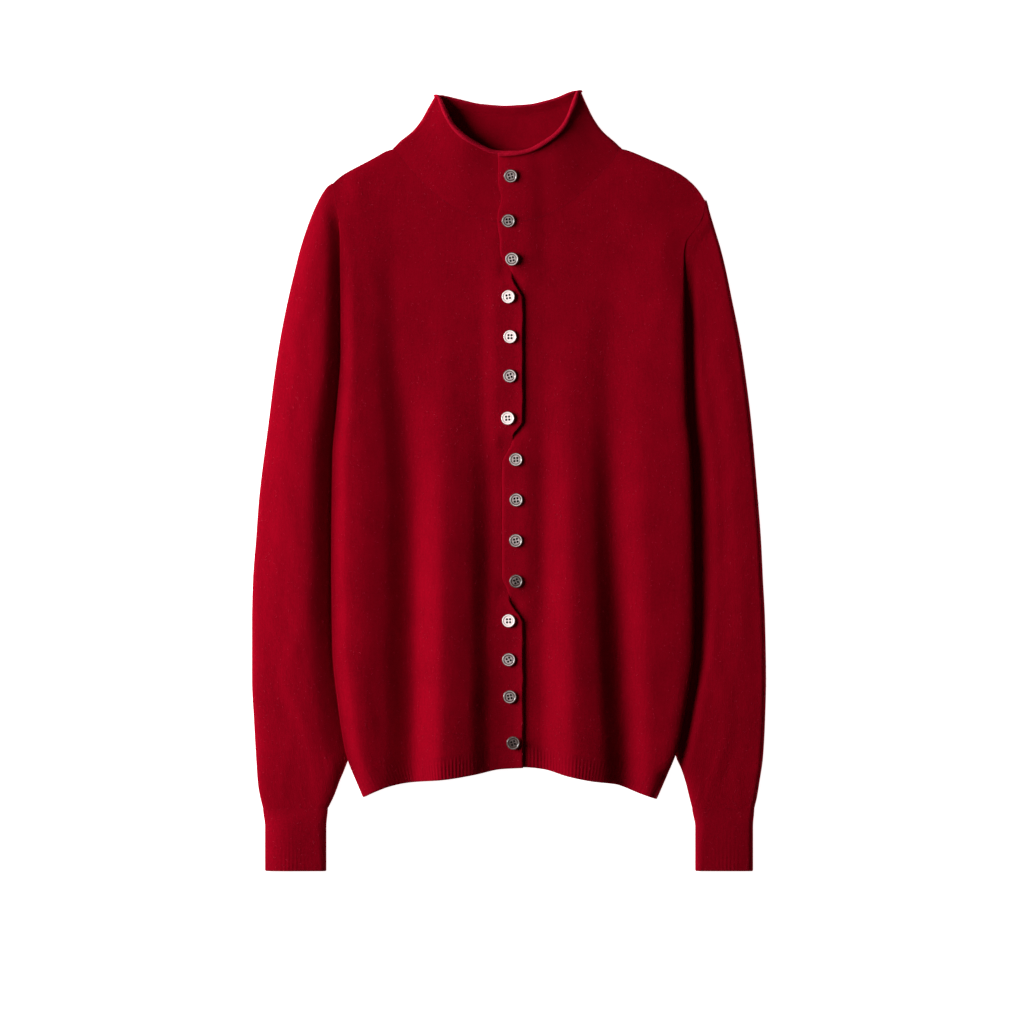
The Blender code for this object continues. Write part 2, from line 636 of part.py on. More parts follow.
def make_front_hem(side, front_mid):
    """Rib band under a front, from the front's own lower row."""
    top = front_mid[0].copy()
    length = np.linalg.norm(np.diff(top, axis=0), axis=1).sum()
    count = 2 * int(length / RIB_PITCH) + 1
    first = resampled(top, np.linspace(0, 1, count))
    first[:, 1] -= SEAM
    last = first.copy()
    low = SIDE_LINE[side][0]
    out = SIGN[side] * first[:, 0]
    reach = low[1] - out[-1]
    out_low = out + reach * ramp(out, HEM_SPREAD, out[-1])
    last[:, 0] = SIGN[side] * out_low
    last[:, 1] = hem_y(side, out_low)
    for i in range(count):
        from_side = max(out_low[-1] - out_low[i], 0.0)
        last[i, 2] = front_level(side, out_low[i], last[i, 1], from_side, math.inf, 0.0)
    mid = np.stack([first, last])
    outer, inner = wall(mid, raised=np.stack([ribbed(count, out)] * 2))
    outer, inner = met(side, outer, inner, mid, above=True)
    name = "hem_front_" + side
    return shell(name, outer, inner, finish(name, "rib"))


def make_back_hem(back_mid):
    top = back_mid[0].copy()
    top[:, 1] -= SEAM
    last = top.copy()
    for i, (x, _, _) in enumerate(top):
        side = "left" if x > 0 else "right"
        end = top[-1] if x > 0 else top[0]
        corner_y, corner_out = SIDE_LINE[side][0]
        reach = corner_out - abs(end[0])
        out = abs(x) + reach * float(ramp(abs(x), HEM_SPREAD, abs(end[0])))
        foot = mix(BACK_HEM_FOOT, corner_y, (out / corner_out) ** HEM_BOW)
        last[i] = (SIGN[side] * out, foot, back_level(side, corner_out - out, foot))
    mid = np.stack([top, last])
    outer, inner = wall(mid, up=False)
    outer, inner = met("right", outer, inner, mid, above=False, column=0)
    outer, inner = met("left", outer, inner, mid, above=False, column=-1)
    for grid in (outer, inner):
        grid[..., 2] = np.maximum(grid[..., 2], 0.0)
    return shell("hem_back", outer, inner, finish("hem_back", "rib"))


# ---------------------------------------------------------------- collar


def moved_off(points, gap):
    """A curve moved in plan, away from the garment's middle, by the gap."""
    flat = unit(np.gradient(points[:, :2], axis=0))
    off = np.stack([-flat[:, 1], flat[:, 0]], axis=1)
    off *= np.where(off[:, 1:] < 0, -1, 1)
    return np.concatenate([points[:, :2] + off * gap, points[:, 2:]], axis=1)


def collar_front(side, front_mid, share):
    """Middle points of one row of the collar's front half, from the placket to the side fold."""
    last = len(BEAD) + len(NECK_COLUMNS) - 1
    base = moved_off(front_mid[-1, : last + 1], SEAM)
    out = SIGN[side] * base[:, 0]
    across = (out - out[0]) / (out[-1] - out[0])
    top_out, top_y = along(COLLAR_TOP[side], across), along(COLLAR_TOP[side], across, 2)
    layer = LAYER * on_top(side, NECK_TOP) * (1 - ramp(top_out, PLACKET_FLAT, PLACKET_FADE))
    top_level = along(COLLAR_LEVEL, across) + layer
    rows = COLLAR_SIDE[side]
    bow_out = along(rows, share) - mix(rows[0][1], rows[-1][1], share)
    bow_y = along(rows, share, 2) - mix(rows[0][2], rows[-1][2], share)
    row_out = mix(out, top_out, share) + bow_out * across**2
    row_y = mix(base[:, 1], top_y, share) + bow_y * across**2
    row_level = mix(base[:, 2], top_level, share**COLLAR_LEAN)
    return np.stack([SIGN[side] * row_out, row_y, row_level], axis=1)


def collar_back(back_mid, share):
    """Middle points of one row of the collar's back, from the right side fold to the left one."""
    neck_columns = slice(len(BACK_COLUMNS), back_mid.shape[1] - len(BACK_COLUMNS))
    foot = resampled(back_mid[-1, neck_columns], (np.array(COLLAR_BACK_SHARES) + 1) / 2)
    row = []
    for s, (x, y, _) in list(zip(COLLAR_BACK_SHARES, foot))[1:-1]:
        side = "left" if s > 0 else "right"
        side_rows = COLLAR_SIDE[side]
        top_x = SIGN[side] * abs(s) * side_rows[-1][1]
        top_y = mix(COLLAR_BACK_TOP, side_rows[-1][2], s**2)
        bow = float(along(side_rows, share)) - mix(side_rows[0][1], side_rows[-1][1], share)
        row_x = mix(x, top_x, share) + SIGN[side] * bow * s**2
        row.append((row_x, mix(y + COLLAR_BACK_GAP, top_y, share), FLOOR))
    return np.array(row)


def side_fold(side, front_point, share):
    """Points round the collar's side fold, from its front layer down to its back layer."""
    x, y, level = front_point
    middle, half = (level + FLOOR) / 2, (level - FLOOR) / 2
    bow = min(COLLAR_FOLD, half)
    points = []
    for angle in COLLAR_FOLD_TURNS:
        a = math.radians(angle)
        points.append((x + SIGN[side] * bow * math.cos(a), y, middle + half * math.sin(a)))
    return np.array(points)


def make_collar(front_mids, back_mid):
    rows = []
    for share in COLLAR_ROWS:
        right = collar_front("right", front_mids["right"], share)
        left = collar_front("left", front_mids["left"], share)
        rows.append(
            np.concatenate(
                [
                    right,
                    side_fold("right", right[-1], share),
                    collar_back(back_mid, share),
                    side_fold("left", left[-1], share)[::-1],
                    left[::-1],
                ]
            )
        )
    mid = np.array(rows)
    roll = np.repeat(np.array(COLLAR_ROLL)[:, None], mid.shape[1], axis=1)
    roll[mid[..., 2] < FLOOR + 0.5] = 0.0
    outer, inner = wall(mid, raised=roll)
    for grid in (outer, inner):
        grid[..., 2] = np.maximum(grid[..., 2], 0.0)
    return shell("collar", outer, inner, finish("collar", "knit"))


# ---------------------------------------------------------------- sleeves and cuffs


def armhole_out(side, y):
    """Out of the sleeve's upper end: beside the body's edge, then under it down to the armpit."""
    beside = ARMHOLE_GAP + WALL / 2 * turned_over(side, np.maximum(y, RAISED_BELOW[side]))
    tuck = beside + side_out(side, ARMPIT) - SLEEVE_IN[side][-1][1]
    under = ramp(RAISED_BELOW[side] - np.asarray(y, float), 0.0, TUCK_LENGTH)
    return side_out(side, y) + beside - tuck * under


def sleeve_level(side, out, y):
    """Level of the sleeve's upper layer over the plan."""
    outside = out - side_out(side, max(y, SIDE_LINE[side][0][0]))
    full = along(SLEEVE_LEVEL, y)
    return float(mix(TUCKED_LEVEL, full, ramp(outside, TUCK_END, TUCK_RISE)))


def loop_shares(width):
    """Shares across a flattened tube: its upper layer from the outer edge in, then the lower one back."""
    upper = [d / width for d in UPPER_FROM_OUT]
    inner = [1 - d / width for d in UPPER_FROM_IN]
    upper += [mix(upper[-1], inner[0], share) for share in UPPER_SHARES] + inner
    lower = [1 - d / width for d in LOWER_FROM_IN]
    outer = [d / width for d in LOWER_FROM_OUT]
    lower += [mix(outer[0], lower[-1], share) for share in LOWER_SHARES] + outer
    return upper, lower


def lower_level(from_out, from_in):
    drop = float(rounded(from_out / UNDER_EDGE) * rounded(from_in / UNDER_EDGE))
    return EDGE_LEVEL - (EDGE_LEVEL - FLOOR) * drop


def upper_level(plateau, from_out, from_in):
    rise = float(rounded(from_out / OUTER_EDGE) * rounded(from_in / INNER_EDGE))
    return EDGE_LEVEL + (plateau - EDGE_LEVEL) * rise


def sleeve_grid(side):
    top = SIDE_LINE[side][-1][0]
    rows = []
    for outer_share, inner_share in SLEEVE_ROWS:
        y_out = mix(top, CUFF_SEAM, outer_share)
        y_in = mix(ARMPIT, CUFF_SEAM, inner_share)
        start = np.array([float(along(SLEEVE_OUT[side], y_out)), y_out])
        end = np.array([float(along(SLEEVE_IN[side], y_in)), y_in])
        if outer_share == 0:
            start[0] = float(armhole_out(side, top))
        width = np.linalg.norm(end - start)
        follow = float(1 - ramp(outer_share, 0.0, ARMHOLE_FADE))
        upper, lower = loop_shares(width)
        line = []
        for w, is_upper in [(w, True) for w in upper] + [(w, False) for w in lower]:
            point = mix(start, end, w)
            arm_y = mix(top, ARMPIT, w)
            straight = mix(float(armhole_out(side, top)), SLEEVE_IN[side][-1][1], w)
            point[0] += follow * (float(armhole_out(side, arm_y)) - straight)
            from_out, from_in = w * width, (1 - w) * width
            if is_upper:
                z = upper_level(sleeve_level(side, point[0], point[1]), from_out, from_in)
            else:
                z = lower_level(from_out, from_in)
            line.append((SIGN[side] * point[0], point[1], z))
        rows.append(line)
    return np.array(rows)


def make_sleeve(side):
    mid = sleeve_grid(side)
    outer, inner = wall(mid, loop=True)
    for grid in (outer, inner):
        grid[..., 2] = np.maximum(grid[..., 2], 0.0)
    return shell("sleeve_" + side, outer, inner, finish("sleeve_" + side, "knit"), loop=True)


def make_cuff(side):
    widest = CUFF_OUT[side][1] - CUFF_IN[side][1]
    columns = 2 * int((widest - CUFF_EDGE[1] - CUFF_INNER_EDGE[1]) / RIB_PITCH) + 1
    rows = []
    for share in CUFF_ROWS:
        y = mix(CUFF_SEAM - SEAM, CUFF_END, share)
        drawn = float(ramp(share, 0, CUFF_WAIST))
        start, end = mix(*CUFF_OUT[side], drawn), mix(*CUFF_IN[side], drawn)
        width = start - end
        near, far = CUFF_EDGE
        ribs = np.linspace(far, width - CUFF_INNER_EDGE[1], columns)
        upper = [0.0, near, *ribs, width - CUFF_INNER_EDGE[0], width]
        lower = [width - near, width - far, width / 2, far, near]
        line = [(SIGN[side] * (start - d), y, upper_level(CUFF_LEVEL, d, width - d)) for d in upper]
        line += [(SIGN[side] * (start - d), y, lower_level(d, width - d)) for d in lower]
        rows.append(line)
    mid = np.array(rows)
    lift = np.concatenate([[0, 0], ribbed(columns), np.zeros(mid.shape[1] - 2 - columns)])
    outer, inner = wall(mid, loop=True, raised=np.stack([lift] * len(rows)))
    for grid in (outer, inner):
        grid[..., 2] = np.maximum(grid[..., 2], 0.0)
    return shell("cuff_" + side, outer, inner, finish("cuff_" + side, "rib"), loop=True)


# ---------------------------------------------------------------- buttons


def button_mesh():
    """Sew-through button: a turned disc with a raised rim, a dished face and four holes."""
    radius = BUTTON_ACROSS / 2
    profile = (
        (radius - BUTTON_UNDERCUT, 0.0),
        (radius, BUTTON_UNDERCUT),
        (radius - BUTTON_SLOPE, BUTTON_THICK),
        (radius - BUTTON_RIM, BUTTON_THICK - BUTTON_DISH),
    )
    turns = [2 * math.pi * k / BUTTON_SEGMENTS for k in range(BUTTON_SEGMENTS)]
    work = bmesh.new()
    rings = []
    for r, z in profile:
        rings.append([work.verts.new((r * math.cos(a) * MM, r * math.sin(a) * MM, z * MM)) for a in turns])
    for low, high in zip(rings, rings[1:]):
        for k in range(BUTTON_SEGMENTS):
            n = (k + 1) % BUTTON_SEGMENTS
            work.faces.new((low[k], low[n], high[n], high[k]))
    work.faces.new(rings[0][::-1])
    work.faces.new(rings[-1])
    disc = placed("button_disc", work)

    work = bmesh.new()
    for k in range(4):
        a = math.pi / 4 + k * math.pi / 2
        place = Vector((math.cos(a), math.sin(a), 0)) * (HOLE_CIRCLE / 2 * MM)
        place.z = BUTTON_THICK / 2 * MM
        bmesh.ops.create_cone(
            work,
            cap_ends=True,
            segments=4,
            radius1=BUTTON_HOLE / 2 * MM,
            radius2=BUTTON_HOLE / 2 * MM,
            depth=3 * BUTTON_THICK * MM,
            matrix=Matrix.Translation(place),
        )
    cutter = placed("button_holes", work)

    cut = disc.modifiers.new("holes", "BOOLEAN")
    cut.operation = "DIFFERENCE"
    cut.object = cutter
    bpy.context.view_layer.update()
    seen = disc.evaluated_get(bpy.context.evaluated_depsgraph_get())
    button = bpy.data.meshes.new_from_object(seen)
    bpy.data.objects.remove(disc)
    bpy.data.objects.remove(cutter)
    return button


def placed(name, work):
    """Object of a finished bmesh."""
    mesh = bpy.data.meshes.new(name)
    work.to_mesh(mesh)
    work.free()
    piece = bpy.data.objects.new(name, mesh)
    bpy.context.collection.objects.link(piece)
    return piece


def seat(trees, x, y, turn):
    """Lowest place of a button over the cloth at x, y: a matrix with z along the button's own axis."""
    across = BUTTON_ACROSS / 2 * MM
    turns = np.linspace(0, 2 * math.pi, BUTTON_SEGMENTS, False)
    spots = [(0.0, 0.0)] + [(across * math.cos(a), across * math.sin(a)) for a in turns]
    found = []
    for dx, dy in spots:
        start = Vector((x * MM + dx, y * MM + dy, 0.1))
        hits = [tree.ray_cast(start, Vector((0, 0, -1)))[0] for tree in trees]
        found.append(max((hit for hit in hits if hit is not None), key=lambda hit: hit.z))
    points = np.array(found)
    spread = points - points.mean(axis=0)
    slope = np.linalg.lstsq(spread[:, :2], spread[:, 2], rcond=None)[0]
    cloth = Vector((-slope[0], -slope[1], 1)).normalized()
    tilt_x, tilt_y, spin = (math.radians(v) for v in turn)
    tilted = Matrix.Rotation(tilt_x, 3, "X") @ Matrix.Rotation(tilt_y, 3, "Y") @ cloth
    frame = tilted.to_track_quat("Z", "Y").to_matrix() @ Matrix.Rotation(spin, 3, "Z")
    low = max(tilted.dot(Vector(p) - Vector(points[0])) for p in points)
    place = Vector(points[0]) + tilted * (low + BUTTON_LIFT * MM)
    return Matrix.Translation(place) @ frame.to_4x4()


def make_buttons(cloth):
    trees = [
        BVHTree.FromPolygons([v.co for v in o.data.vertices], [tuple(p.vertices) for p in o.data.polygons])
        for o in cloth
    ]
    disc = button_mesh()
    for number, (x, y, *turn) in enumerate(BUTTONS, 1):
        name = f"button_{number:02d}"
        mesh = disc.copy()
        mesh.name = name
        mesh.materials.clear()
        mesh.materials.append(finish(name, "shell"))
        mesh.shade_smooth()
        mesh.set_sharp_from_angle(angle=math.radians(SHARP))
        button = bpy.data.objects.new(name, mesh)
        bpy.context.collection.objects.link(button)
        button.matrix_world = seat(trees, x, y, turn)
    bpy.data.meshes.remove(disc)


def main():
    for old in list(bpy.data.objects):
        bpy.data.objects.remove(old)
    front_right, right_mid = make_front("right")
    front_left, left_mid = make_front("left")
    _, back_mid = make_back()
    collar = make_collar({"right": right_mid, "left": left_mid}, back_mid)
    hems = [make_front_hem("right", right_mid), make_front_hem("left", left_mid)]
    make_back_hem(back_mid)
    for side in SIGN:
        make_sleeve(side)
        make_cuff(side)
    make_buttons([front_right, front_left, collar] + hems)


main()
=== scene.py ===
"""Looks of the button cardigan: fine knit cloth, ribs, rolled collar, shell buttons and a pale studio.

Tables and grids are in millimetres, in the cardigan's own frame: the neck points to +Y, the wearer's
left is +X and the front faces up. "out" is the distance from the centre line towards a side, and
"y" runs from the hem, below zero, to the neck. Meshes are in metres.
"""

import json
import math

import bmesh
import bpy
import numpy as np
from mathutils import Matrix, Vector

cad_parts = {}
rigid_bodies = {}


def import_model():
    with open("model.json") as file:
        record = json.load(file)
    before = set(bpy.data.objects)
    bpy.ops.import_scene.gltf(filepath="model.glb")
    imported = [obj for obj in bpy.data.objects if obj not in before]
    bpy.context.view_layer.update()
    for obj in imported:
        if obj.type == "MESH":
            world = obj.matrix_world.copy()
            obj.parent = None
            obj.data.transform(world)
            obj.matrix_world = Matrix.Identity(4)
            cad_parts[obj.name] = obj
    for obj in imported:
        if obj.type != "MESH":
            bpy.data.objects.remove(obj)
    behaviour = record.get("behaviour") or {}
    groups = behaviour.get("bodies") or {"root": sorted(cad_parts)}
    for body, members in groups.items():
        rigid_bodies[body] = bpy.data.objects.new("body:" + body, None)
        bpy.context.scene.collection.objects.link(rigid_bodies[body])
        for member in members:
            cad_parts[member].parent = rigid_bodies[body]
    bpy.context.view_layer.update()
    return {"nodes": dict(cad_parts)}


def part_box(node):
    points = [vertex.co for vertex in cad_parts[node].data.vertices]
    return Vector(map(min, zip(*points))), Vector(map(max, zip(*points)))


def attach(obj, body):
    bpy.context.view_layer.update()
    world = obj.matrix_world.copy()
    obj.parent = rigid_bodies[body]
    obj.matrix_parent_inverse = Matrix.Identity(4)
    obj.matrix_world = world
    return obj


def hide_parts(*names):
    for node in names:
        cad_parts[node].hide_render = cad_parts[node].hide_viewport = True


bl_info = {
    "name": "Button cardigan looks",
    "version": (1, 0, 0),
    "blender": (4, 5, 0),
    "location": "3D View > Sidebar > Cardigan",
    "description": "Knit, ribs, buttons and studio for a cardigan laid flat",
    "category": "Object",
}

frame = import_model()
MM = 0.001

# Cloth
WALL = 2.0
LAYER = WALL + 0.35  # from one layer's middle to the next one's, lying on it
FLOOR = WALL / 2  # middle of a layer that lies on the surface
CLOTH_SHARP = 62.0  # degrees between faces from which an edge of the cloth is sharp
SEAM = 0.01  # visible gap at a seam
SEAM_ROUND = (0.4, 0.03)  # a seamed edge is rounded over this width, by this much
SEAM_LAP = 1.2  # the sleeve goes on under the front's edge by this at the armhole seam
SEAM_DROP = 0.12  # and lies this much lower there
EDGE_ROUND = 1.3  # a free edge is rounded over this width
PLACKET_ROUND = {"right": 1.3, "left": 3.0}  # and a placket edge over this
EDGE_HALF = 0.14  # and half as thick as this at its very edge
EDGE_HIGHLIGHT = 0.08  # painted highlight along the edge of the front on top: how pale it is
# the painted highlight fades out between these distances from the edge
EDGE_HIGHLIGHT_FADE = (0.8, 3.2)

# Body, as in the solids
NECK_HALF = {"right": 106.0, "left": 102.0}  # out of the neck points
NECK_TOP = 304.3  # and their y
NECK_DEPTH = 67.3
BACK_NECK_DEPTH = 14.0
NECK_POWER = 2.2  # power of the neckline's curve
NECK_CLEAR = 8.0  # past the neck point the front's top comes down to the shoulder seam over this
PLACKET_REACH = {"right": -12.4, "left": -7.2}
TOP_LAP = 4.2  # the upper front reaches this much further near the collar
TOP_LAP_FROM = (196.0, 222.0)
EDGE_SWAYS = (  # how far the placket edge stands out between two buttons, from the hem up
    0.6, 0.9, 0.5, 0.4, 0.3, 0.2, 0.3, 0.3, 0.6, 0.5, 0.7, 0.5, -2.0, -3.2,
)
PLACKET_FLAT = {"right": 12.0, "left": 15.0}  # a front that lies on the other one is level to here
PLACKET_FADE = {"right": 27.0, "left": 36.0}  # and down on its own level here
PLACKET_STRIP = (13.0, 15.0)  # the hem band is plain up to the first and ribbed from the second
PLACKET_SAG = 0.5  # the placket sinks by this between two buttons
PLACKET_SAG_FADE = (5.0, 14.0)
CROSSING_LAP = 0.9  # where two edges pass each other, each goes this far over the crossing
CENTRE_FOOT = -243.7  # y of the fronts' lower end at the centre line
CENTRE_HEAD = 237.0  # and of their upper end
BACK_FOOT = -241.5
BACK_HEM_FOOT = -263.5
HEM_BOW = 2.2  # power of the curve of the back's lower end
HEM_SPREAD = 40.0  # the hem bands widen towards the sides from here on
SEAM_LEVEL = 2.15  # level of the side seam where it lies down
SIDE_RISE = 7.85  # and how much higher it is on the sleeve
BACK_RISE = 5.6  # the back is lifted by this beside it
SIDE_DROP = 1.3  # the front is this much higher than the seam before its edge is rounded down
SIDE_DROP_RAISED = {"right": 4.9, "left": 2.8}  # and this much more on the sleeve
SIDE_DROP_FADE = (140.0, 215.0)  # but no more near the shoulder
SIDE_ROUND = {"right": 15.0, "left": 12.0}
SIDE_SOFT = {"right": 0.95, "left": 0.0}  # 0: the side's fold is round, 1: it comes up in a soft S
TURNED_AT = 0.4  # share of the rise from which on the side is a full fold
SHOULDER_ROUND = 10.0
SHOULDER_STEP = WALL / 2 + 0.15  # from a seam's level to the cloth's middle at the shoulder
FLAT_STEP = WALL / 2 + 0.1  # and at a side that isn't folded over
UNDER_ROUND = 9.0  # the back's side edge is rounded over this
BACK_SLOPE = (10.0, 26.0)  # and its lift ends between these

JOIN_START = {"right": 252.0, "left": 237.0}  # above here the front runs on into the sleeve at the seam
JOIN_LEVEL = 6.4  # level of the cloth's middle at the lower end of that seam
JOIN_WIDTH = 24.0  # the front comes down to it over this

CROSSINGS = (  # y, x where the fronts change places, whether the left front lies on top above it
    (188.5, 2.0, True),
    (38.0, 3.0, False),
    (-107.5, -0.5, True),
)
PINCH_HALF = 2.0  # as near as this to a crossing both edges are at it
PINCH_END = {"right": (23.0, 16.0, 25.0), "left": (18.0, 23.0, 18.0)}  # and this far off at their reach
LEVEL_HALF = 9.0  # the fronts change levels over this
CROSSING_SOFT = 30.0  # and further in over this

SIDE_LINE = {  # y, out
    "right": (
        (-291.9, 133.8), (-271, 142.6), (-248.6, 150.3), (-202.6, 157.5), (-157, 162.0),
        (-71, 163.0), (20, 162.0), (64, 158.2), (119, 154.4), (222, 155.2), (258, 160.2), (272, 163),
    ),
    "left": (
        (-293.7, 134.7), (-271, 144.2), (-248.6, 153.0), (-202.6, 162.0), (-156.6, 168.4),
        (-110.6, 169.2), (-64.6, 168.6), (-18.6, 168.0), (27.4, 166.2), (60, 162.8), (120, 161.2),
        (204, 160.2), (218, 162.5), (231, 172.0), (246.3, 179.0), (256.5, 180.4),
    ),
}
RAISED_BELOW = {"right": 235.0, "left": 218.0}  # the side lies on the sleeve from here down
RAISED_ABOVE = -258.0  # to here
DOWN_BELOW = -291.0  # and is down on the surface below here

SHOULDER = {  # out, y
    "right": ((106, 304.3), (112, 302.3), (126.5, 294.2), (144, 285), (155, 279), (163, 272)),
    "left": (
        (102, 304.3), (109, 302.3), (128.3, 294.2), (149.5, 285), (164.2, 275.8),
        (173.4, 266.6), (180, 256.5),
    ),
}
HEM = {  # out, y
    "right": (
        (-14, -265), (7.8, -266.1), (29.9, -270.7), (57.5, -275.3), (96, -279),
        (118.2, -284.5), (133.8, -291.9),
    ),
    "left": (
        (-9, -265), (14.3, -264.5), (30.8, -266.1), (52.9, -272.5), (75, -277.1), (97, -279.9),
        (119.1, -288.2), (134.7, -293.7),
    ),
}
FOLD_OUT_AT = (-260.0, -30.0, 120.0)  # y of the hem, the waist and the chest
FOLD_LEVEL_AT = (-275.0, -150.0, -30.0, 70.0, 165.0, 270.0)  # y of the levels
FOLDS = {  # out at hem, waist and chest, then levels from the hem to the shoulder
    "right": (
        ((-12, -12, -12), (4.9, 5.9, 5.6, 5.2, 5.0, 5.0)),
        ((10, 10, 11), (6.4, 5.9, 5.6, 5.2, 5.0, 5.0)),
        ((17, 17, 23), (7.8, 7.0, 5.0, 4.8, 5.0, 5.0)),
        ((37, 38, 44), (20.2, 18.0, 12.5, 7.4, 5.2, 5.0)),
        ((62, 61, 59), (24.6, 22.8, 16.6, 9.2, 5.3, 5.0)),
        ((90, 90, 103), (3.7, 3.8, 4.2, 5.0, 5.2, 5.0)),
        ((117, 117, 125), (13.2, 14.2, 13.8, 12.6, 9.6, 5.6)),
        ((139, 140, 143), (16.8, 18.4, 17.6, 15.4, 12.6, 6.4)),
    ),
    "left": (
        ((0, 0, 0), (5.8, 5.9, 5.6, 5.2, 5.0, 5.0)),
        ((14, 14, 14), (4.9, 5.7, 5.6, 5.2, 5.0, 5.0)),
        ((28, 28, 27), (4.8, 5.2, 5.2, 5.1, 5.0, 5.0)),
        ((60, 58, 56), (20.5, 19.0, 14.6, 9.2, 5.3, 5.0)),
        ((84, 74, 72), (16.8, 15.6, 12.2, 8.2, 5.3, 5.0)),
        ((106, 95, 90), (3.6, 3.6, 4.2, 5.0, 5.2, 5.0)),
        ((131, 126, 118), (13.0, 14.6, 13.4, 10.6, 8.0, 5.5)),
    ),
}
BEAD = {  # in from a placket edge, raised
    "right": ((0.0, 0.3), (1.3, 0.85), (3.0, 0.7), (5.5, 0.32), (9.0, 0.0)),
    "left": ((0.0, -0.75), (1.5, -0.5), (4.0, -0.22), (8.5, 0.0)),
}

# Rows and columns of the fine grids
ROW_STEP = 4.0
ROW_STEP_CROSSING = 1.5
CROSSING_REACH = 25.0  # as near as this to a crossing the rows are closer
END_STEPS = (0.25, 0.6, 1.1, 1.8)  # extra rows beside the first and the last one
END_CLEAR = 3.0  # and no other row is nearer to them than this
PLACKET_COLUMNS = (0, 0.12, 0.35, 0.7, 1.1, 1.5, 1.9, 2.4, 3.0, 3.6, 4.4, 5.4, 6.8, 8.5, 10.5, 12.7, 15)
NECK_COLUMNS = 24
SHOULDER_COLUMNS = 12
SIDE_COLUMNS = (13, 11, 9, 7.2, 5.6, 4.2, 3.1, 2.2, 1.4, 0.8, 0.4, 0.15, 0)
NECK_SHARE = {"right": 0.64, "left": 0.57}
BACK_COLUMNS = (0, 0.15, 0.5, 1.0, 1.8, 2.8, 4.2, 6, 8, 10, 12.5, 15.5, 19, 23, 26.5)
BACK_NECK_COLUMNS = 26

# Collar
COLLAR_SIDE = {  # share of its height, out, y
    "right": (
        (0, 106, 304.3), (0.2, 96.5, 311.5), (0.4, 85.5, 320.5), (0.6, 78.0, 330.0),
        (0.8, 71.5, 341.5), (1, 63.5, 355.5),
    ),
    "left": (
        (0, 102, 304.3), (0.2, 92.0, 311.5), (0.4, 82.5, 320.0), (0.6, 74.5, 331.0),
        (0.8, 67.5, 345.0), (1, 61.0, 359.8),
    ),
}
COLLAR_TOP = {  # share from the placket to the side, out, y
    "right": ((0, -11, 302.5), (0.2, 12, 303.5), (0.45, 30, 311), (0.75, 50, 327), (1, 63.5, 355.5)),
    "left": ((0, -10.5, 301.0), (0.2, 12, 303.5), (0.45, 31, 312), (0.75, 48.5, 328), (1, 61, 359.8)),
}
COLLAR_LEVEL = (  # share from the placket to the side, level of the top edge
    (0, 8.6), (0.25, 10.4), (0.6, 14.6), (0.85, 13.6), (1, 9.4),
)
COLLAR_BACK_TOP = 344.0  # y of the back's top edge at the centre line
COLLAR_FIRST_ROWS = (0, 0.004, 0.01, 0.02)  # shares of its height
COLLAR_ROWS_FROM = 0.04  # share at which its regular rows start
COLLAR_ROWS = 30
COLLAR_LEAN = 1.15  # power of its rise from the neckline to the top edge
COLLAR_FOLD = 2.3  # each side fold bows out by this
COLLAR_FOLD_FOOT = 0.3  # and by this at the neckline
COLLAR_FOLD_FROM = 0.2  # share of the height over which the bow grows
COLLAR_FOLD_TURNS = (75, 60, 45, 30, 15, 0, -15, -30, -45, -60, -75, -90)
COLLAR_BACK_COLUMNS = 44
ROLL_START = 0.952  # share of the collar's height at which its edge starts to roll outwards
ROLL_HIGHLIGHT_FROM = ROLL_START - 0.01  # and from which it gets a painted highlight
ROLL_RADIUS = 1.8
ROLL_UNEVEN = 0.16
ROLL_WAVES = ((4.1, 0.0, 1.0), (9.7, 1.3, 1.0), (23.0, 4.0, 0.7))  # length of a radian, shift, height
ROLL_AT_FOLD = 0.4  # share of the radius at a side fold
ROLL_FADE = (3.0, 16.0)
ROLL_TURN = 235.0  # degrees
ROLL_ROWS = 14
ROLL_LIFT_FROM = 0.8  # the back's rolled edge lies on the surface and lifts the cloth from this share on

# Sleeves and cuffs
SLEEVE_OUT = {  # y, out
    "right": (
        (-302, 225.8), (-291, 228.5), (-279.9, 230.4), (-254.2, 232.2), (-221, 234.1),
        (-184, 235.9), (-130, 235.9), (-92.2, 235.0), (-55.4, 232.2), (-18.6, 229.5),
        (55, 220.3), (91.8, 215.7), (128.6, 210.1), (165.4, 202.8), (193, 196.3),
        (211.4, 191.7), (239, 182.5), (257.4, 174.3), (266.6, 168.7), (272, 164.0),
    ),
    "left": (
        (-302, 224.2), (-291, 226.8), (-279.9, 228.6), (-254.2, 232.3), (-221, 234.1),
        (-184, 235.0), (-130, 234.1), (-92.2, 232.2), (-55.4, 230.4), (-18.6, 227.6),
        (55, 221.2), (91.8, 216.6), (128.6, 211.1), (165.4, 203.7), (193, 198.0),
        (211.4, 193.5), (229.8, 188.0), (248.2, 182.6), (256.5, 180.6),
    ),
}
SLEEVE_IN = {  # y, out
    "right": (
        (-302, 168.0), (-291, 162.5), (-276.2, 156.9), (-265.2, 152.3), (-250, 147.5),
        (-215, 146.5), (-150, 149), (0, 151), (130, 151),
    ),
    "left": (
        (-302, 168.9), (-291, 166.1), (-279.9, 163.4), (-265.2, 158.8), (-255.1, 154.2),
        (-240, 151), (-200, 152.5), (-150, 157), (-60, 157), (0, 155), (130, 152),
    ),
}
SLEEVE_ROWS = (  # share of the way from the shoulder point to the cuff: at the outer, the inner edge
    (0.0, 0.0), (0.016, 0.008), (0.04, 0.02), (0.07, 0.035), (0.11, 0.055), (0.16, 0.08),
    (0.22, 0.12), (0.29, 0.17), (0.37, 0.24), (0.45, 0.34), (0.54, 0.45), (0.63, 0.57),
    (0.72, 0.68), (0.80, 0.775), (0.87, 0.86), (0.925, 0.92), (0.965, 0.963), (1.0, 1.0),
)
SLEEVE_FINE = 7  # rows for each of those
SLEEVE_END_ROWS = (0, 0.03, 0.08)  # rows at both ends, as shares of the first and the last of those
ARMPIT = 130.0  # its y
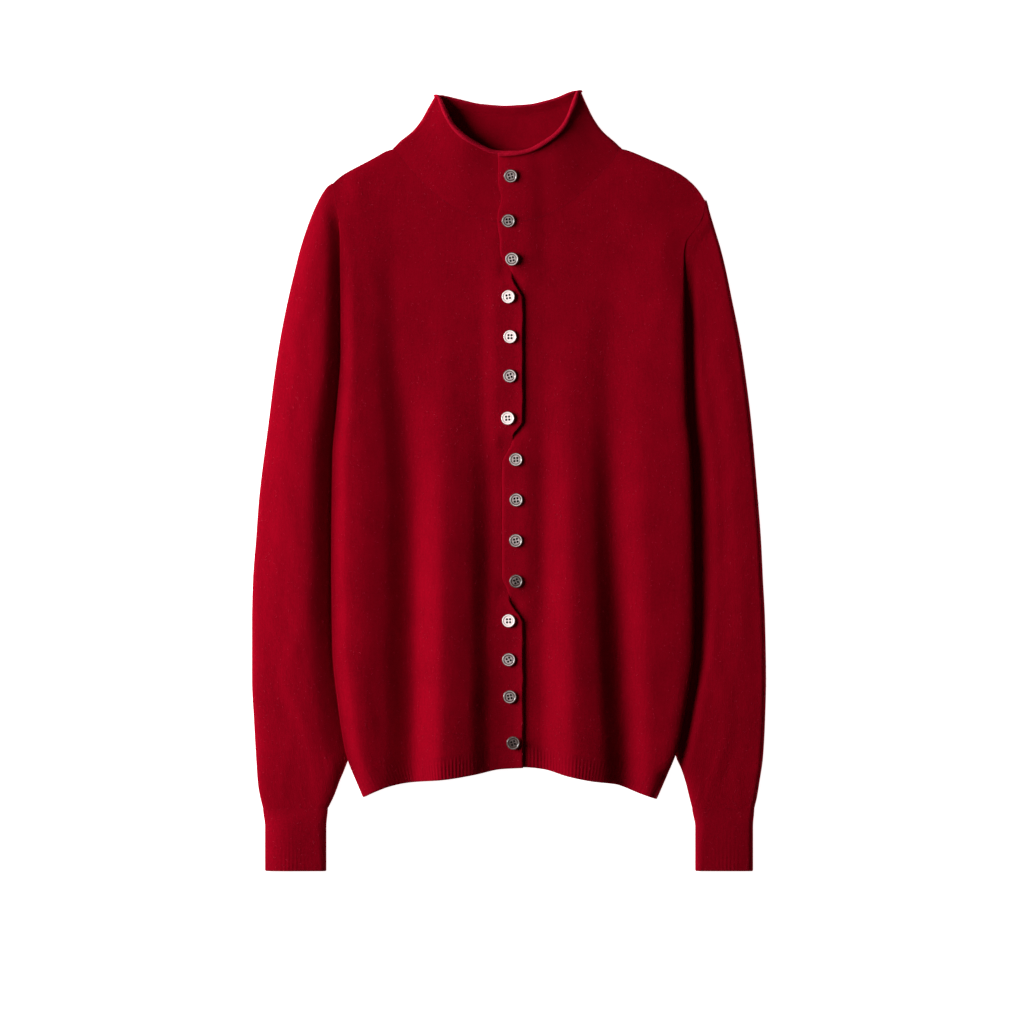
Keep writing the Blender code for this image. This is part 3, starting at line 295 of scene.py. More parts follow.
ARMHOLE_FADE = 0.2  # share of the sleeve's length that follows the armhole
ARMHOLE_BLEND = 8.0  # from its outer edge in, it starts to follow over this
SHOULDER_BLEND = 0.004  # share of the length over which the outer edge leaves the shoulder point
CREASE_FADE = 30.0  # creases come up over this from an edge
SLEEVE_CREASES = {  # out, y, angle in plan, half length, half width, height: soft ridges and troughs
    "right": (
        (205, 60, 100, 60, 7, 0.7), (190, -40, 82, 46, 6, -0.6), (214, -70, 96, 50, 6, 0.6),
        (196, -150, 104, 44, 6, 0.7), (212, -190, 78, 34, 5, -0.6), (190, -222, 70, 30, 5, 0.7),
        (206, -262, 98, 26, 4, 0.6), (186, -276, 84, 20, 4, -0.4), (186, 160, 118, 40, 6, 0.5),
    ),
    "left": (
        (198, 90, 104, 50, 7, 0.6), (206, -20, 92, 56, 7, 0.7), (190, -90, 80, 42, 6, -0.6),
        (214, -130, 94, 40, 6, 0.5), (192, -178, 102, 36, 5, 0.7), (208, -226, 84, 34, 5, -0.5),
        (192, -262, 72, 24, 4, 0.6), (210, -280, 96, 18, 4, 0.4), (190, 176, 116, 36, 6, 0.5),
    ),
    "under": (
        (196, 70, 98, 60, 8, 0.7), (180, -30, 84, 50, 7, 0.8), (208, -120, 100, 46, 7, 0.6),
        (190, -200, 88, 38, 6, 0.7), (200, -270, 94, 24, 5, 0.5),
    ),
}
BACK_CREASES = (  # x, y, and as above; they lift the back off the surface
    (-96, 40, 78, 90, 11, 0.9), (-40, -90, 96, 80, 12, 0.8), (34, 20, 84, 110, 12, 0.9),
    (88, -120, 102, 70, 10, 1.0), (-110, -170, 70, 46, 9, 0.8), (8, 190, 12, 70, 10, 0.7),
    (112, 110, 94, 60, 10, 0.8), (-70, 170, 150, 50, 9, 0.6),
)
FRONT_CREASES = {  # out, y, and as above
    "right": (
        (124, 178, 66, 34, 7, 0.7), (146, 226, 78, 26, 6, -0.5), (60, 120, 84, 50, 9, 0.4),
        (118, -226, 76, 30, 7, -0.8), (34, -196, 100, 26, 6, 0.5), (84, 226, 150, 26, 8, -0.4),
    ),
    "left": (
        (138, 150, 68, 38, 7, 0.8), (154, 206, 74, 24, 6, -0.7), (70, 130, 80, 46, 9, 0.4),
        (104, -214, 72, 30, 7, 0.8), (40, -60, 96, 40, 8, 0.4), (88, 232, 28, 28, 8, -0.5),
    ),
}
SLEEVE_NEAR_OUT = (0, 0.12, 0.45, 1.1, 2.1, 3.3, 4.8, 6.6, 8.8, 11)
SLEEVE_NEAR_IN = (4, 3, 2.1, 1.3, 0.7, 0.3, 0.08, 0)
SLEEVE_UPPER = 18  # steps between those, on the upper layer
SLEEVE_LOWER = 10  # and on the lower one, whose columns near the edges follow
UNDER_NEAR_IN = (0.1, 0.4, 1.0, 1.8, 2.6, 4.5)
UNDER_NEAR_OUT = (4.5, 2.6, 1.8, 1.0, 0.4, 0.1)
CUFF_SEAM = -302.0
CUFF_END = -359.9
CUFF_OUT = {"right": (225.8, 223.9), "left": (224.2, 223.0)}  # at the seam, below the waist
CUFF_IN = {"right": (168.0, 169.4), "left": (168.9, 171.7)}
CUFF_NEAR_OUT = SLEEVE_NEAR_OUT[:7]
CUFF_LOWER = 7  # steps on the lower layer
CUFF_FIRST_ROWS = (0, 0.004, 0.01, 0.02)  # shares of its length
CUFF_MIDDLE_ROWS = (0.05, 0.96, 18)  # from, to and how many
CUFF_LAST_ROWS = (0.975, 0.985, 0.994, 1.0)
CUFF_WAIST = 0.288  # share of its length over which it is drawn in and domed
CUFF_DOME = 0.6  # under 1, its crest is nearer the outer edge
CUFF_RIB_FADE = 58.0  # the ribs come up over this below the seam
CUFF_RIB_SHARE = 0.4  # of the hem bands' ribs
CUFF_RIB_LEAN = 0.75  # under 1, the clear ribs are nearer the outer edge
CUFF_LIFT = {"right": 3.0, "left": 1.4}  # how much higher its crest is
EDGE_LEVEL = 2.6  # level of the sleeve's and the cuff's two edges
UNDER_EDGE = 2.6  # the lower layer is rounded up to them over this
OUTER_EDGE = {"right": 24.0, "left": 3.2}  # and the upper one down to the outer edge over this
INNER_EDGE = (  # y, and down to the inner edge over this
    (-360, 5.0), (-330, 7.0), (-302, 11.0), (-276, 13.0), (-240, 6.0), (-200, 3.0),
)
TUCKED_LEVEL = 3.5  # level of the sleeve's upper layer at the body's edge
SLEEVE_LEVEL = ((-302, 6.2), (-280, 7.2), (-200, 10.0), (80, 10.4), (200, 8.0), (240, 6.2), (275, 4.2))
TUCK_LENGTH = {"right": 34.0, "left": 100.0}  # it goes in under the body over this below JOIN_START
TUCK_UNDER = 1.0  # it starts to rise this far inside the body's edge
TUCK_RISE = {  # y, and is up this far outside that edge
    "right": ((-302, 19), (-270, 21), (-239, 25), (-157, 24), (-60, 24), (30, 22), (119, 18), (211, 15)),
    "left": ((-302, 22), (-239, 15), (-157, 18), (-64, 24), (27, 22), (119, 15), (211, 15)),
}
TUCK_SOFT = {"right": 0.4, "left": 1.0}  # 0: it rises steeply at once, 1: in a soft S
TUCK_FLOOR = {"right": 0.0, "left": 0.42}  # share of the way where the soft S starts
TUCK_LIFT = {"right": 0.0, "left": 2.6}  # how much higher it is at the body's edge than in the valley
TUCK_LIFT_OVER = 9.0
SLEEVE_CREST = {  # y, how much higher than its level the sleeve is beside the valley along the body
    "right": (
        (-302, 0.0), (-240, 3.6), (-160, 5.8), (-80, 8.6), (0, 8.8), (120, 8.0), (205, 6.6), (275, 0.0),
    ),
    "left": ((-302, 0.0), (-240, -0.8), (-157, -2.2), (119, -3.2), (211, -2.0), (275, 0.0)),
}
SLEEVE_CREST_WIDTH = {"right": 44.0, "left": 28.0}
CUFF_LEVEL = 6.2

SIGN = {"right": -1.0, "left": 1.0}
SIDES = ("right", "left")
BUTTON_NODES = sorted(name for name in frame["nodes"] if name.startswith("button_"))
BUTTON_HEIGHTS = np.sort([sum(corner.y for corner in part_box(name)) / 2 / MM for name in BUTTON_NODES])


# ---------------------------------------------------------------- curves


def curve(knots, values, at):
    """Smooth curve through the knots, whose crests and troughs are all at knots.

    The last axis of knots and values counts the knots, and their other axes go with those of "at".
    """
    knots, values, at = (np.asarray(a, float) for a in (knots, values, at))
    shape = np.broadcast_shapes(at.shape, knots.shape[:-1], values.shape[:-1])
    knots = np.broadcast_to(knots, shape + knots.shape[-1:])
    values = np.broadcast_to(values, shape + values.shape[-1:])
    at = np.clip(np.broadcast_to(at, shape), knots[..., 0], knots[..., -1])
    step = np.diff(knots, axis=-1)
    rise = np.diff(values, axis=-1) / step
    both = rise[..., :-1] * rise[..., 1:]
    total = rise[..., :-1] + rise[..., 1:]
    inner = np.where(both > 0, 2 * both / np.where(both > 0, total, 1), 0)
    slope = np.concatenate([rise[..., :1], inner, rise[..., -1:]], axis=-1)
    first = (at[..., None] >= knots[..., 1:-1]).sum(axis=-1)

    def pick(table, offset=0):
        return np.take_along_axis(table, (first + offset)[..., None], axis=-1)[..., 0]

    width = pick(step)
    u = (at - pick(knots)) / width
    ends = pick(values) * (1 + 2 * u) * (1 - u) ** 2 + pick(values, 1) * u * u * (3 - 2 * u)
    return ends + width * (pick(slope) * u * (1 - u) ** 2 - pick(slope, 1) * u * u * (1 - u))


def along(table, at, column=1):
    """A table's column at values of its first column, on a smooth curve."""
    rows = np.array(table, float)
    return curve(rows[:, 0], rows[:, column], at)


def ramp(value, start, end):
    """0 before start, 1 past end, and a soft S between them."""
    u = np.clip((np.asarray(value, float) - start) / (end - start), 0, 1)
    return u * u * (3 - 2 * u)


def rounded(share):
    """Quarter of a circle: 0 at 0, 1 from 1 on, and upright at 0."""
    return np.sqrt(1 - (1 - np.clip(share, 0, 1)) ** 2)


def mix(a, b, share):
    return a + (b - a) * share


def unit(vectors):
    return vectors / np.maximum(np.linalg.norm(vectors, axis=-1, keepdims=True), 1e-9)


def run(points):
    """Length along a line of points, or along each row of a grid, from its first point."""
    steps = np.linalg.norm(np.diff(points, axis=-2), axis=-1)
    return np.concatenate([np.zeros(steps.shape[:-1] + (1,)), np.cumsum(steps, axis=-1)], axis=-1)


def run_down(grid):
    """Length along each column of a grid, from its first row."""
    return run(grid.transpose(1, 0, 2)).T


def resampled(points, at):
    """Points of a line at the given shares of its length."""
    lengths = run(points)
    return np.stack([np.interp(at * lengths[-1], lengths, points[:, k]) for k in range(3)], axis=-1)


def creases(table, x, y):
    """Height of soft ridges and troughs, each placed by its middle, angle, length and width."""
    height = np.zeros(np.broadcast_shapes(np.shape(x), np.shape(y)))
    for middle_x, middle_y, angle, length, width, rise in table:
        ahead, aside = math.cos(math.radians(angle)), math.sin(math.radians(angle))
        lengthwise = (x - middle_x) * ahead + (y - middle_y) * aside
        across = (y - middle_y) * ahead - (x - middle_x) * aside
        height = height + rise * np.exp(-((lengthwise / length) ** 2) - (across / width) ** 2)
    return height


def at_seam(distance):
    """How much thinner, half and half, the cloth is at this distance from a seamed edge."""
    width, depth = SEAM_ROUND
    return depth * (1 - rounded(distance / width))


def at_edge(distance, width=EDGE_ROUND):
    """Half thickness of the cloth at this distance from a free, rounded edge."""
    return np.maximum(WALL / 2 * rounded(distance / width), EDGE_HALF)


# ---------------------------------------------------------------- objects


def added(name, data):
    """Object of a mesh, a lamp or a camera, in the scene."""
    made = bpy.data.objects.new(name, data)
    bpy.context.collection.objects.link(made)
    return made


def placed(name, work):
    """Object of a finished bmesh."""
    mesh = bpy.data.meshes.new(name)
    work.to_mesh(mesh)
    work.free()
    return added(name, mesh)


def as_mesh(piece):
    """The piece's mesh with its modifiers applied."""
    bpy.context.view_layer.update()
    seen = piece.evaluated_get(bpy.context.evaluated_depsgraph_get())
    return bpy.data.meshes.new_from_object(seen)


# ---------------------------------------------------------------- cloth as a mesh


def grid_normals(mid, loop=False):
    """Unit normals of a grid of points, (row, column, xyz)."""
    if loop:
        across = np.roll(mid, -1, axis=1) - np.roll(mid, 1, axis=1)
    else:
        across = np.gradient(mid, axis=1)
    return unit(np.cross(unit(across), unit(np.gradient(mid, axis=0))))


def squared(normals, points):
    """Normals of an edge row, turned so that the cloth's edge there is cut upright."""
    flat = np.gradient(points, axis=0)[:, :2]
    length = np.linalg.norm(flat, axis=1, keepdims=True)
    off = np.stack([-flat[:, 1], flat[:, 0]], axis=1) / np.maximum(length, 1e-9)
    step = np.linalg.norm(np.gradient(points, axis=0), axis=1, keepdims=True)
    off = np.where(length > 0.5 * step, off, np.array([[0.0, 1.0]]))
    off = np.concatenate([off, np.zeros((len(off), 1))], axis=1)
    return unit(normals - (normals * off).sum(1, keepdims=True) * off)


def layers(mid, half, lift=0.0, up=True, loop=False, square=(True, True)):
    """Outer and inner points of the cloth about a grid of middle points."""
    normals = grid_normals(mid, loop)
    if loop:
        turned = (normals * (mid - mid.mean(axis=1, keepdims=True))).sum() < 0
    else:
        turned = (normals[..., 2].sum() < 0) == up
    if turned:
        normals = -normals
    for row, cut in zip((0, -1), square):
        if cut:
            normals[row] = squared(normals[row], mid[row])
    half = np.broadcast_to(half, mid.shape[:2])[..., None]
    lift = np.broadcast_to(lift, mid.shape[:2])[..., None]
    return mid + normals * (half + lift), mid - normals * half


def shell(name, outer, inner, knit, loop=False, edge=0.0):
    """One closed mesh between two grids of points, with the knit's own map in metres.

    "edge" is from 0, plain cloth, to 1, a rolled edge with a full painted highlight in the fibre's pale
    colour.
    """
    rows, columns = outer.shape[:2]
    under = rows * columns
    wide = columns + 1 if loop else columns
    r, c = (a.ravel() for a in np.mgrid[0 : rows - 1, 0 : wide - 1])
    quad_r = np.stack([r, r, r + 1, r + 1], axis=1)
    quad_c = np.stack([c, c + 1, c + 1, c], axis=1)
    top, top_map = quad_r * columns + quad_c % columns, quad_r * wide + quad_c
    faces, places = [top, top[:, ::-1] + under], [top_map, top_map[:, ::-1]]

    def rim(rows_at, columns_at):
        a = rows_at * columns + columns_at % columns
        a_map = rows_at * wide + columns_at
        faces.append(np.stack([a[1:], a[:-1], a[:-1] + under, a[1:] + under], axis=1))
        places.append(np.stack([a_map[1:], a_map[:-1], a_map[:-1], a_map[1:]], axis=1))

    line, side = np.arange(wide), np.arange(rows)
    rim(0 * line, line)
    rim(0 * line[::-1] + rows - 1, line[::-1])
    if not loop:
        rim(side[::-1], 0 * side)
        rim(side, 0 * side + columns - 1)
    faces, places = np.concatenate(faces), np.concatenate(places)
    points = np.concatenate([outer.reshape(-1, 3), inner.reshape(-1, 3)]) * MM
    a, b, c, d = (points[faces[:, k]] for k in range(4))
    if ((a * np.cross(b, c)).sum() + (a * np.cross(c, d)).sum()) < 0:
        faces, places = faces[:, ::-1], places[:, ::-1]
    mesh = bpy.data.meshes.new(name)
    mesh.from_pydata(points.tolist(), [], faces.tolist())
    layer = mesh.uv_layers.new(name="knit")
    layer.data.foreach_set("uv", (knit.reshape(-1, 2)[places.ravel()] * MM).ravel())
    edge = np.tile(np.broadcast_to(edge, (rows, columns)).ravel(), 2)
    mesh.attributes.new("edge", "FLOAT", "POINT").data.foreach_set("value", edge)
    mesh.shade_smooth()
    mesh.set_sharp_from_angle(angle=math.radians(CLOTH_SHARP))
    return added(name, mesh)


def knit_map(across, up):
    return np.stack(np.broadcast_arrays(across, up), axis=-1)


def lies_on_floor(*grids):
    """Lifts what is below the surface that the garment lies on up to it."""
    for grid in grids:
        grid[..., 2] = np.maximum(grid[..., 2], 0.0)


def dress(piece, node, material):
    """Puts a finished piece in the place of its solid."""
    piece.data.materials.clear()
    piece.data.materials.append(material)
    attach(piece, "root")
    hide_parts(node)


# ---------------------------------------------------------------- body


def raised(side, y):
    """How far the side edge is lifted by the sleeve under it, from 0 to 1."""
    shoulder = SIDE_LINE[side][-1][0]
    return (1 - ramp(y, RAISED_BELOW[side], shoulder)) * ramp(y, DOWN_BELOW, RAISED_ABOVE)


def turned_over(side, y):
    """How far the side edge is folded over, from 0 to 1."""
    return np.minimum(raised(side, y) / TURNED_AT, 1)


def seam_level(side, y):
    return SEAM_LEVEL + SIDE_RISE * raised(side, y)


def side_out(side, y):
    return along(SIDE_LINE[side], y)


def hem_y(side, out):
    return along(HEM[side], out)


def neckline(side, share, depth):
    """Out and y on the neckline, from the centre, 0, to the neck point, 1."""
    start = PLACKET_REACH[side] if depth == NECK_DEPTH else 0.0
    out = mix(start, NECK_HALF[side], share)
    return out, NECK_TOP - depth * (1 - np.abs(out / NECK_HALF[side]) ** NECK_POWER)


def nearest_crossing(y):
    """y, x and number of the crossing that is nearest to each y."""
    table = np.array(CROSSINGS, float)
    nearest = np.abs(np.asarray(y, float)[..., None] - table[:, 0]).argmin(axis=-1)
    return table[nearest, 0], table[nearest, 1], nearest


def pinched(side, y):
    crossing_y, _, nearest = nearest_crossing(y)
    return 1 - ramp(np.abs(y - crossing_y), PINCH_HALF, np.array(PINCH_END[side])[nearest])


def on_top(side, y, half=LEVEL_HALF):
    """1 where this front lies on the other one, 0 where it lies under it."""
    left = np.ones(np.shape(y))
    for crossing_y, _, left_above in CROSSINGS:
        below = 1 - ramp(y, crossing_y - half, crossing_y + half)
        left = mix(left, 0.0 if left_above else 1.0, below)
    return left if side == "left" else 1 - left


def midway(y):
    """1 halfway between two buttons, 0 at each of them and past the last ones."""
    last = len(BUTTON_HEIGHTS) - 1
    found = np.searchsorted(BUTTON_HEIGHTS, y)
    above = BUTTON_HEIGHTS[np.clip(found, 0, last)]
    below = BUTTON_HEIGHTS[np.clip(found - 1, 0, last)]
    share = (y - below) / np.where(above > below, above - below, 1)
    return np.where((found > 0) & (found <= last), np.sin(np.pi * share) ** 2, 0)


def swayed(side, y):
    """How much further in than its reach the upper front's edge is, bowed between the buttons."""
    between = np.clip(np.searchsorted(BUTTON_HEIGHTS, y) - 1, 0, len(EDGE_SWAYS) - 1)
    return -np.array(EDGE_SWAYS)[between] * midway(y) ** 2 * on_top(side, y)


def placket_edge(side, y):
    """Out of a front's own edge."""
    reach = PLACKET_REACH[side] + swayed(side, y) - TOP_LAP * ramp(y, *TOP_LAP_FROM) * on_top(side, y)
    crossing = SIGN[side] * nearest_crossing(y)[1] - CROSSING_LAP
    return mix(reach, crossing, pinched(side, y))


def fold_level(side, out, y):
    """Level of the front's middle over the plan, before its edges are rounded down."""
    out, y = np.broadcast_arrays(out, y)
    fold_at = [curve(FOLD_OUT_AT, places, y) for places, _ in FOLDS[side]]
    levels = [curve(FOLD_LEVEL_AT, heights, y) for _, heights in FOLDS[side]]
    fold_at.append(side_out(side, y))
    lifted = raised(side, y) * (1 - ramp(y, *SIDE_DROP_FADE))
    levels.append(seam_level(side, y) + SIDE_DROP + SIDE_DROP_RAISED[side] * lifted)
    return curve(np.stack(fold_at, axis=-1), np.stack(levels, axis=-1), out)


def joined(side, y):
    """1 where the front runs on into the sleeve at the armhole seam, 0 where its edge is folded over."""
    return ramp(y, JOIN_START[side] - TUCK_LENGTH[side], JOIN_START[side])


def joined_level(side, y):
    """Level of the cloth's middle at the armhole seam, on the front and on the sleeve."""
    return mix(JOIN_LEVEL, SEAM_LEVEL + SHOULDER_STEP, ramp(y, JOIN_START[side], SHOULDER[side][-1][1]))


def front_level(side, out, y, from_side, from_top, past_neck):
    """Level of the front's middle, with its edges."""
    level = fold_level(side, out, y) - PLACKET_SAG * midway(y) * (1 - ramp(out, *PLACKET_SAG_FADE))
    flat, fade = PLACKET_FLAT[side], PLACKET_FADE[side]
    lift = mix(on_top(side, y), on_top(side, y, CROSSING_SOFT), ramp(out, flat / 2, flat))
    level = level + LAYER * lift * (1 - ramp(out, flat, fade))
    edge = seam_level(side, y) + FLAT_STEP * (1 - turned_over(side, y))
    width = SIDE_ROUND[side]
    form = mix(rounded(from_side / width), ramp(from_side, 0, width), SIDE_SOFT[side] * raised(side, y))
    rounded_down = mix(edge, level, form)
    run_on = mix(joined_level(side, y), level, ramp(from_side, 0, JOIN_WIDTH))
    level = mix(rounded_down, run_on, joined(side, y))
    drop = ramp(past_neck, 0, NECK_CLEAR) * (1 - rounded(from_top / SHOULDER_ROUND))
    return mix(level, SEAM_LEVEL + SHOULDER_STEP, drop)


def body_plan(side, s, t, front):
    """Out and y of a panel at shares s, from its centre to its side, and t, from hem band to top."""
    depth = NECK_DEPTH if front else BACK_NECK_DEPTH
    centre_foot = CENTRE_FOOT if front else BACK_FOOT
    centre_head = CENTRE_HEAD if front else NECK_TOP - BACK_NECK_DEPTH
    side_foot, side_head = SIDE_LINE[side][1][0], SIDE_LINE[side][-1][0]
    s, t = np.asarray(s, float), np.asarray(t, float)

    def centre(t):
        out = placket_edge(side, mix(CENTRE_FOOT, CENTRE_HEAD, t)) if front else 0 * t
        return np.stack([out, mix(centre_foot, centre_head, t)])

    def edge(t):
        y = mix(side_foot, side_head, t)
        return np.stack([side_out(side, y), y])

    def foot(s):
        start, end = centre(0 * t), edge(0 * t)
        out = mix(start[0], end[0], s)
        if not front:
            return np.stack([out, mix(start[1], end[1], s**HEM_BOW)])
        to_start = start[1] - hem_y(side, start[0])
        to_end = end[1] - hem_y(side, end[0])
        return np.stack([out, hem_y(side, out) + mix(to_start, to_end, s)])

    def head(s):
        neck = NECK_SHARE[side]
        on_neck = np.stack(neckline(side, np.minimum(s / neck, 1), depth))
        rows = np.array(SHOULDER[side], float)
        shoulder_out = mix(rows[0, 0], rows[-1, 0], np.maximum(s - neck, 0) / (1 - neck))
        on_shoulder = np.stack([shoulder_out, along(SHOULDER[side], shoulder_out)])
        place = np.where(s <= neck, on_neck, on_shoulder)
        if not front:
            return place
        first = np.stack(neckline(side, 0.0 * s, depth))
        return place + (centre(0 * t + 1) - first) * (1 - np.minimum(s / neck, 1))

    sway = centre(t) - mix(centre(0 * t), centre(0 * t + 1), t)
    lean = edge(t) - mix(edge(0 * t), edge(0 * t + 1), t)
    return mix(foot(s), head(s), t) + sway * (1 - s) ** 2 + lean * s


def body_rows(fine):
    """Shares from the hem band to the top, closer where the fronts change places if fine."""
    heights = [CENTRE_FOOT]
    while heights[-1] < CENTRE_HEAD:
        near = abs(heights[-1] - nearest_crossing(heights[-1])[0]) < CROSSING_REACH
        heights.append(heights[-1] + (ROW_STEP_CROSSING if fine and near else ROW_STEP))
    heights = np.array(heights[1:-1])
    heights = heights[(heights > CENTRE_FOOT + END_CLEAR) & (heights < CENTRE_HEAD - END_CLEAR)]
    ends = np.array((0,) + END_STEPS)
    heights = np.concatenate([CENTRE_FOOT + ends, heights, CENTRE_HEAD - ends[::-1]])
    return (heights - CENTRE_FOOT)[:, None] / (CENTRE_HEAD - CENTRE_FOOT)


def front_grid(side):
    """Middle points of a front, and the distances of each from its edges: placket, foot, side, top."""
    t = body_rows(True)
    width = body_plan(side, 0 * t + 1, t, True)[0] - body_plan(side, 0 * t, t, True)[0]
    neck = NECK_SHARE[side]
    placket = np.array(PLACKET_COLUMNS) / width
    to_neck = mix(placket[:, -1:], neck, np.linspace(0, 1, NECK_COLUMNS + 1)[1:])
    to_side = 1 - np.array(SIDE_COLUMNS) / width
    shoulder = mix(neck, to_side[:, :1], np.linspace(0, 1, SHOULDER_COLUMNS + 1)[1:-1])
    s = np.concatenate([placket, to_neck, shoulder, to_side], axis=1)
    out, y = body_plan(side, s, t, True)
    top = body_plan(side, s, 0 * t + 1, True)[1]
    foot = body_plan(side, s, 0 * t, True)[1]
    from_side = (1 - s) * width
    level = front_level(side, out, y, from_side, top - y, out - NECK_HALF[side])
    inside = np.minimum.reduce([s * width, from_side, top - y, y - foot])
    level = level + creases(FRONT_CREASES[side], out, y) * ramp(inside, 0, CREASE_FADE)
    mid = np.stack([SIGN[side] * out, y, level], axis=-1)
    return mid, s * width, y - foot, from_side, top - y


def bead(distance, side, y):
    """How much the rolled placket edge stands out."""
    return along(BEAD[side], distance) * on_top(side, y)


def met(side, outer, inner, mid, above, column=-1):
    """Ends a panel at the side seam's own level, face to face with the other panel."""
    level = seam_level(side, mid[:, column, 1])
    apart = joined(side, mid[:, column, 1])
    over = turned_over(side, mid[:, column, 1]) * (1 - apart)
    if above:
        level = mix(level, np.minimum(level, SEAM_LEVEL), apart)
    for grid in (outer, inner):
        z = grid[:, column, 2]
        if above:
            grid[:, column, 2] = np.maximum(mix(z, level + SEAM / 2, over), level + SEAM / 2)
        else:
            grid[:, column, 2] = np.minimum(mix(z, level - SEAM / 2, over), level - SEAM / 2)


def make_front(side):
    mid, from_edge, from_foot, from_side, from_top = front_grid(side)
    half = at_edge(from_edge, PLACKET_ROUND[side])
    half = half - at_seam(from_foot) - at_seam(from_top) - at_seam(from_side)
    outer, inner = layers(mid, np.maximum(half, EDGE_HALF), bead(from_edge, side, mid[..., 1]))
    met(side, outer, inner, mid, above=True)
    across = run(mid) + SIGN[side] * mid[:, :1, 0]
    # Painted highlight along the edge of the front that lies on top.
    edge = EDGE_HIGHLIGHT * (1 - ramp(from_edge, *EDGE_HIGHLIGHT_FADE)) * on_top(side, mid[..., 1])
    return shell("knit_front_" + side, outer, inner, knit_map(across, mid[..., 1]), edge=edge)


def back_level(side, from_side, y):
    apart = joined(side, y)
    lift = BACK_RISE * raised(side, y) * (1 - ramp(from_side, *BACK_SLOPE)) * (1 - apart)
    edge = mix(seam_level(side, y) - FLAT_STEP * (1 - turned_over(side, y)), FLOOR, apart)
    return mix(edge, FLOOR + lift, rounded(from_side / UNDER_ROUND))


def back_half(side):
    """Middle points of the back's half, from its side edge in to the centre line."""
    t = body_rows(False)
    width = body_plan(side, 0 * t + 1, t, False)[0]
    from_edge = 1 - np.array(BACK_COLUMNS) / width
    neck = NECK_SHARE[side]
    to_neck = mix(from_edge[:, -1:], neck, np.linspace(0, 1, SHOULDER_COLUMNS)[1:])
    across_neck = neck * np.linspace(1, 0, BACK_NECK_COLUMNS + 1)[1:] + 0 * t
    s = np.concatenate([from_edge, to_neck, across_neck], axis=1)
    out, y = body_plan(side, s, t, False)
    return np.stack([SIGN[side] * out, y, back_level(side, (1 - s) * width, y)], axis=-1)


def back_grid():
    right, left = back_half("right"), back_half("left")
    mid = np.concatenate([right, left[:, -2::-1]], axis=1)
    x, y = mid[..., 0], mid[..., 1]
    inside = np.minimum.reduce([x - x[:, :1], x[:, -1:] - x, y - y[:1], y[-1:] - y])
    mid[..., 2] += creases(BACK_CREASES, x, y) * ramp(inside, 0, CREASE_FADE)
    return mid


def make_back():
    mid = back_grid()
    rows = CENTRE_FOOT + body_rows(False) * (CENTRE_HEAD - CENTRE_FOOT)
    half = WALL / 2 - at_seam(rows - CENTRE_FOOT) - at_seam(CENTRE_HEAD - rows)
    outer, inner = layers(mid, half + 0 * mid[..., 0], up=False)
    met("right", outer, inner, mid, above=False, column=0)
    met("left", outer, inner, mid, above=False, column=-1)
    lies_on_floor(outer, inner)
    return shell("knit_back", outer, inner, knit_map(mid[..., 0], mid[..., 1]))


# ---------------------------------------------------------------- hem bands


HEM_ROWS = (0, 0.012, 0.03, 0.055, 0.12, 0.24, 0.38, 0.52, 0.66, 0.78, 0.86, 0.92, 0.955, 0.98, 0.992, 1)
RIB_COLUMNS = 8
RIB_BEGIN = 2.2  # the ribs begin about this far below the seam
RIB_FADE = 4.5  # and come up over this
RIB_WAVES = (7.3, 2.9)  # two waves, as long as this to a radian, make their beginning uneven
RIB_WAVES_SHIFT = 1.0
RIB_END = 1.5  # the ribs end over this before the free edge
RIB_FAINT = 0.1  # share of their height where they are worn flat
RIB_CLARITY = {  # out, how clear the ribs are
    "right": (
        (15, 0.1), (36, 0.3), (46, 0.8), (60, 1.0), (72, 0.9), (80, 0.35), (95, 0.5),
        (106, 0.15), (135, 0.0),
    ),
    "left": ((15, 0.4), (24, 0.9), (40, 0.9), (49, 0.45), (60, 0.7), (72, 0.6), (86, 0.15), (135, 0.0)),
}


def rib_count(length, look):
    """Number of columns for whole ribs over a length."""
    return RIB_COLUMNS * round(length / (look.pitch / MM)) + 1


def rib_lift(count, look):
    """Height of rounded ribs over a row of columns."""
    return look.height / MM * np.sin(np.pi * np.arange(count) / RIB_COLUMNS) ** 2


def make_front_hem(side, look):
    mid, *_ = front_grid(side)
    top = mid[0].copy()
    count = rib_count(run(top)[-1], look)
    first = resampled(top, np.linspace(0, 1, count))
    first[:, 1] -= SEAM
    out = SIGN[side] * first[:, 0]
    reach = SIDE_LINE[side][0][1] - out[-1]
    out_low = out + reach * ramp(out, HEM_SPREAD, out[-1])
    last_y = hem_y(side, out_low)
    last_z = front_level(side, out_low, last_y, out_low[-1] - out_low, np.inf, -1.0)
    last = np.stack([SIGN[side] * out_low, last_y, last_z], axis=-1)
    share = np.array(HEM_ROWS)[:, None, None]
    mid = mix(first, last, share)
    down = run_down(mid)
    from_edge = run(mid)
    half = np.minimum(at_edge(from_edge, PLACKET_ROUND[side]), at_edge(down[-1:] - down)) - at_seam(down)
    seen = ramp(out, *PLACKET_STRIP) * mix(RIB_FAINT, 1, along(RIB_CLARITY[side], out))
    waves = np.sin(out / RIB_WAVES[0] + RIB_WAVES_SHIFT) * np.sin(out / RIB_WAVES[1])
    ends = rounded((down[-1:] - down) / RIB_END) * ramp(down - RIB_BEGIN * (1 + waves), 0, RIB_FADE)
    lift = rib_lift(count, look) * seen * ends + bead(from_edge, side, mid[..., 1])
    outer, inner = layers(mid, np.maximum(half, EDGE_HALF), lift)
    met(side, outer, inner, mid, above=True)
    across = run(mid[0])[None] + out[0]
    return shell("rib_hem_" + side, outer, inner, knit_map(across, CENTRE_FOOT - down))


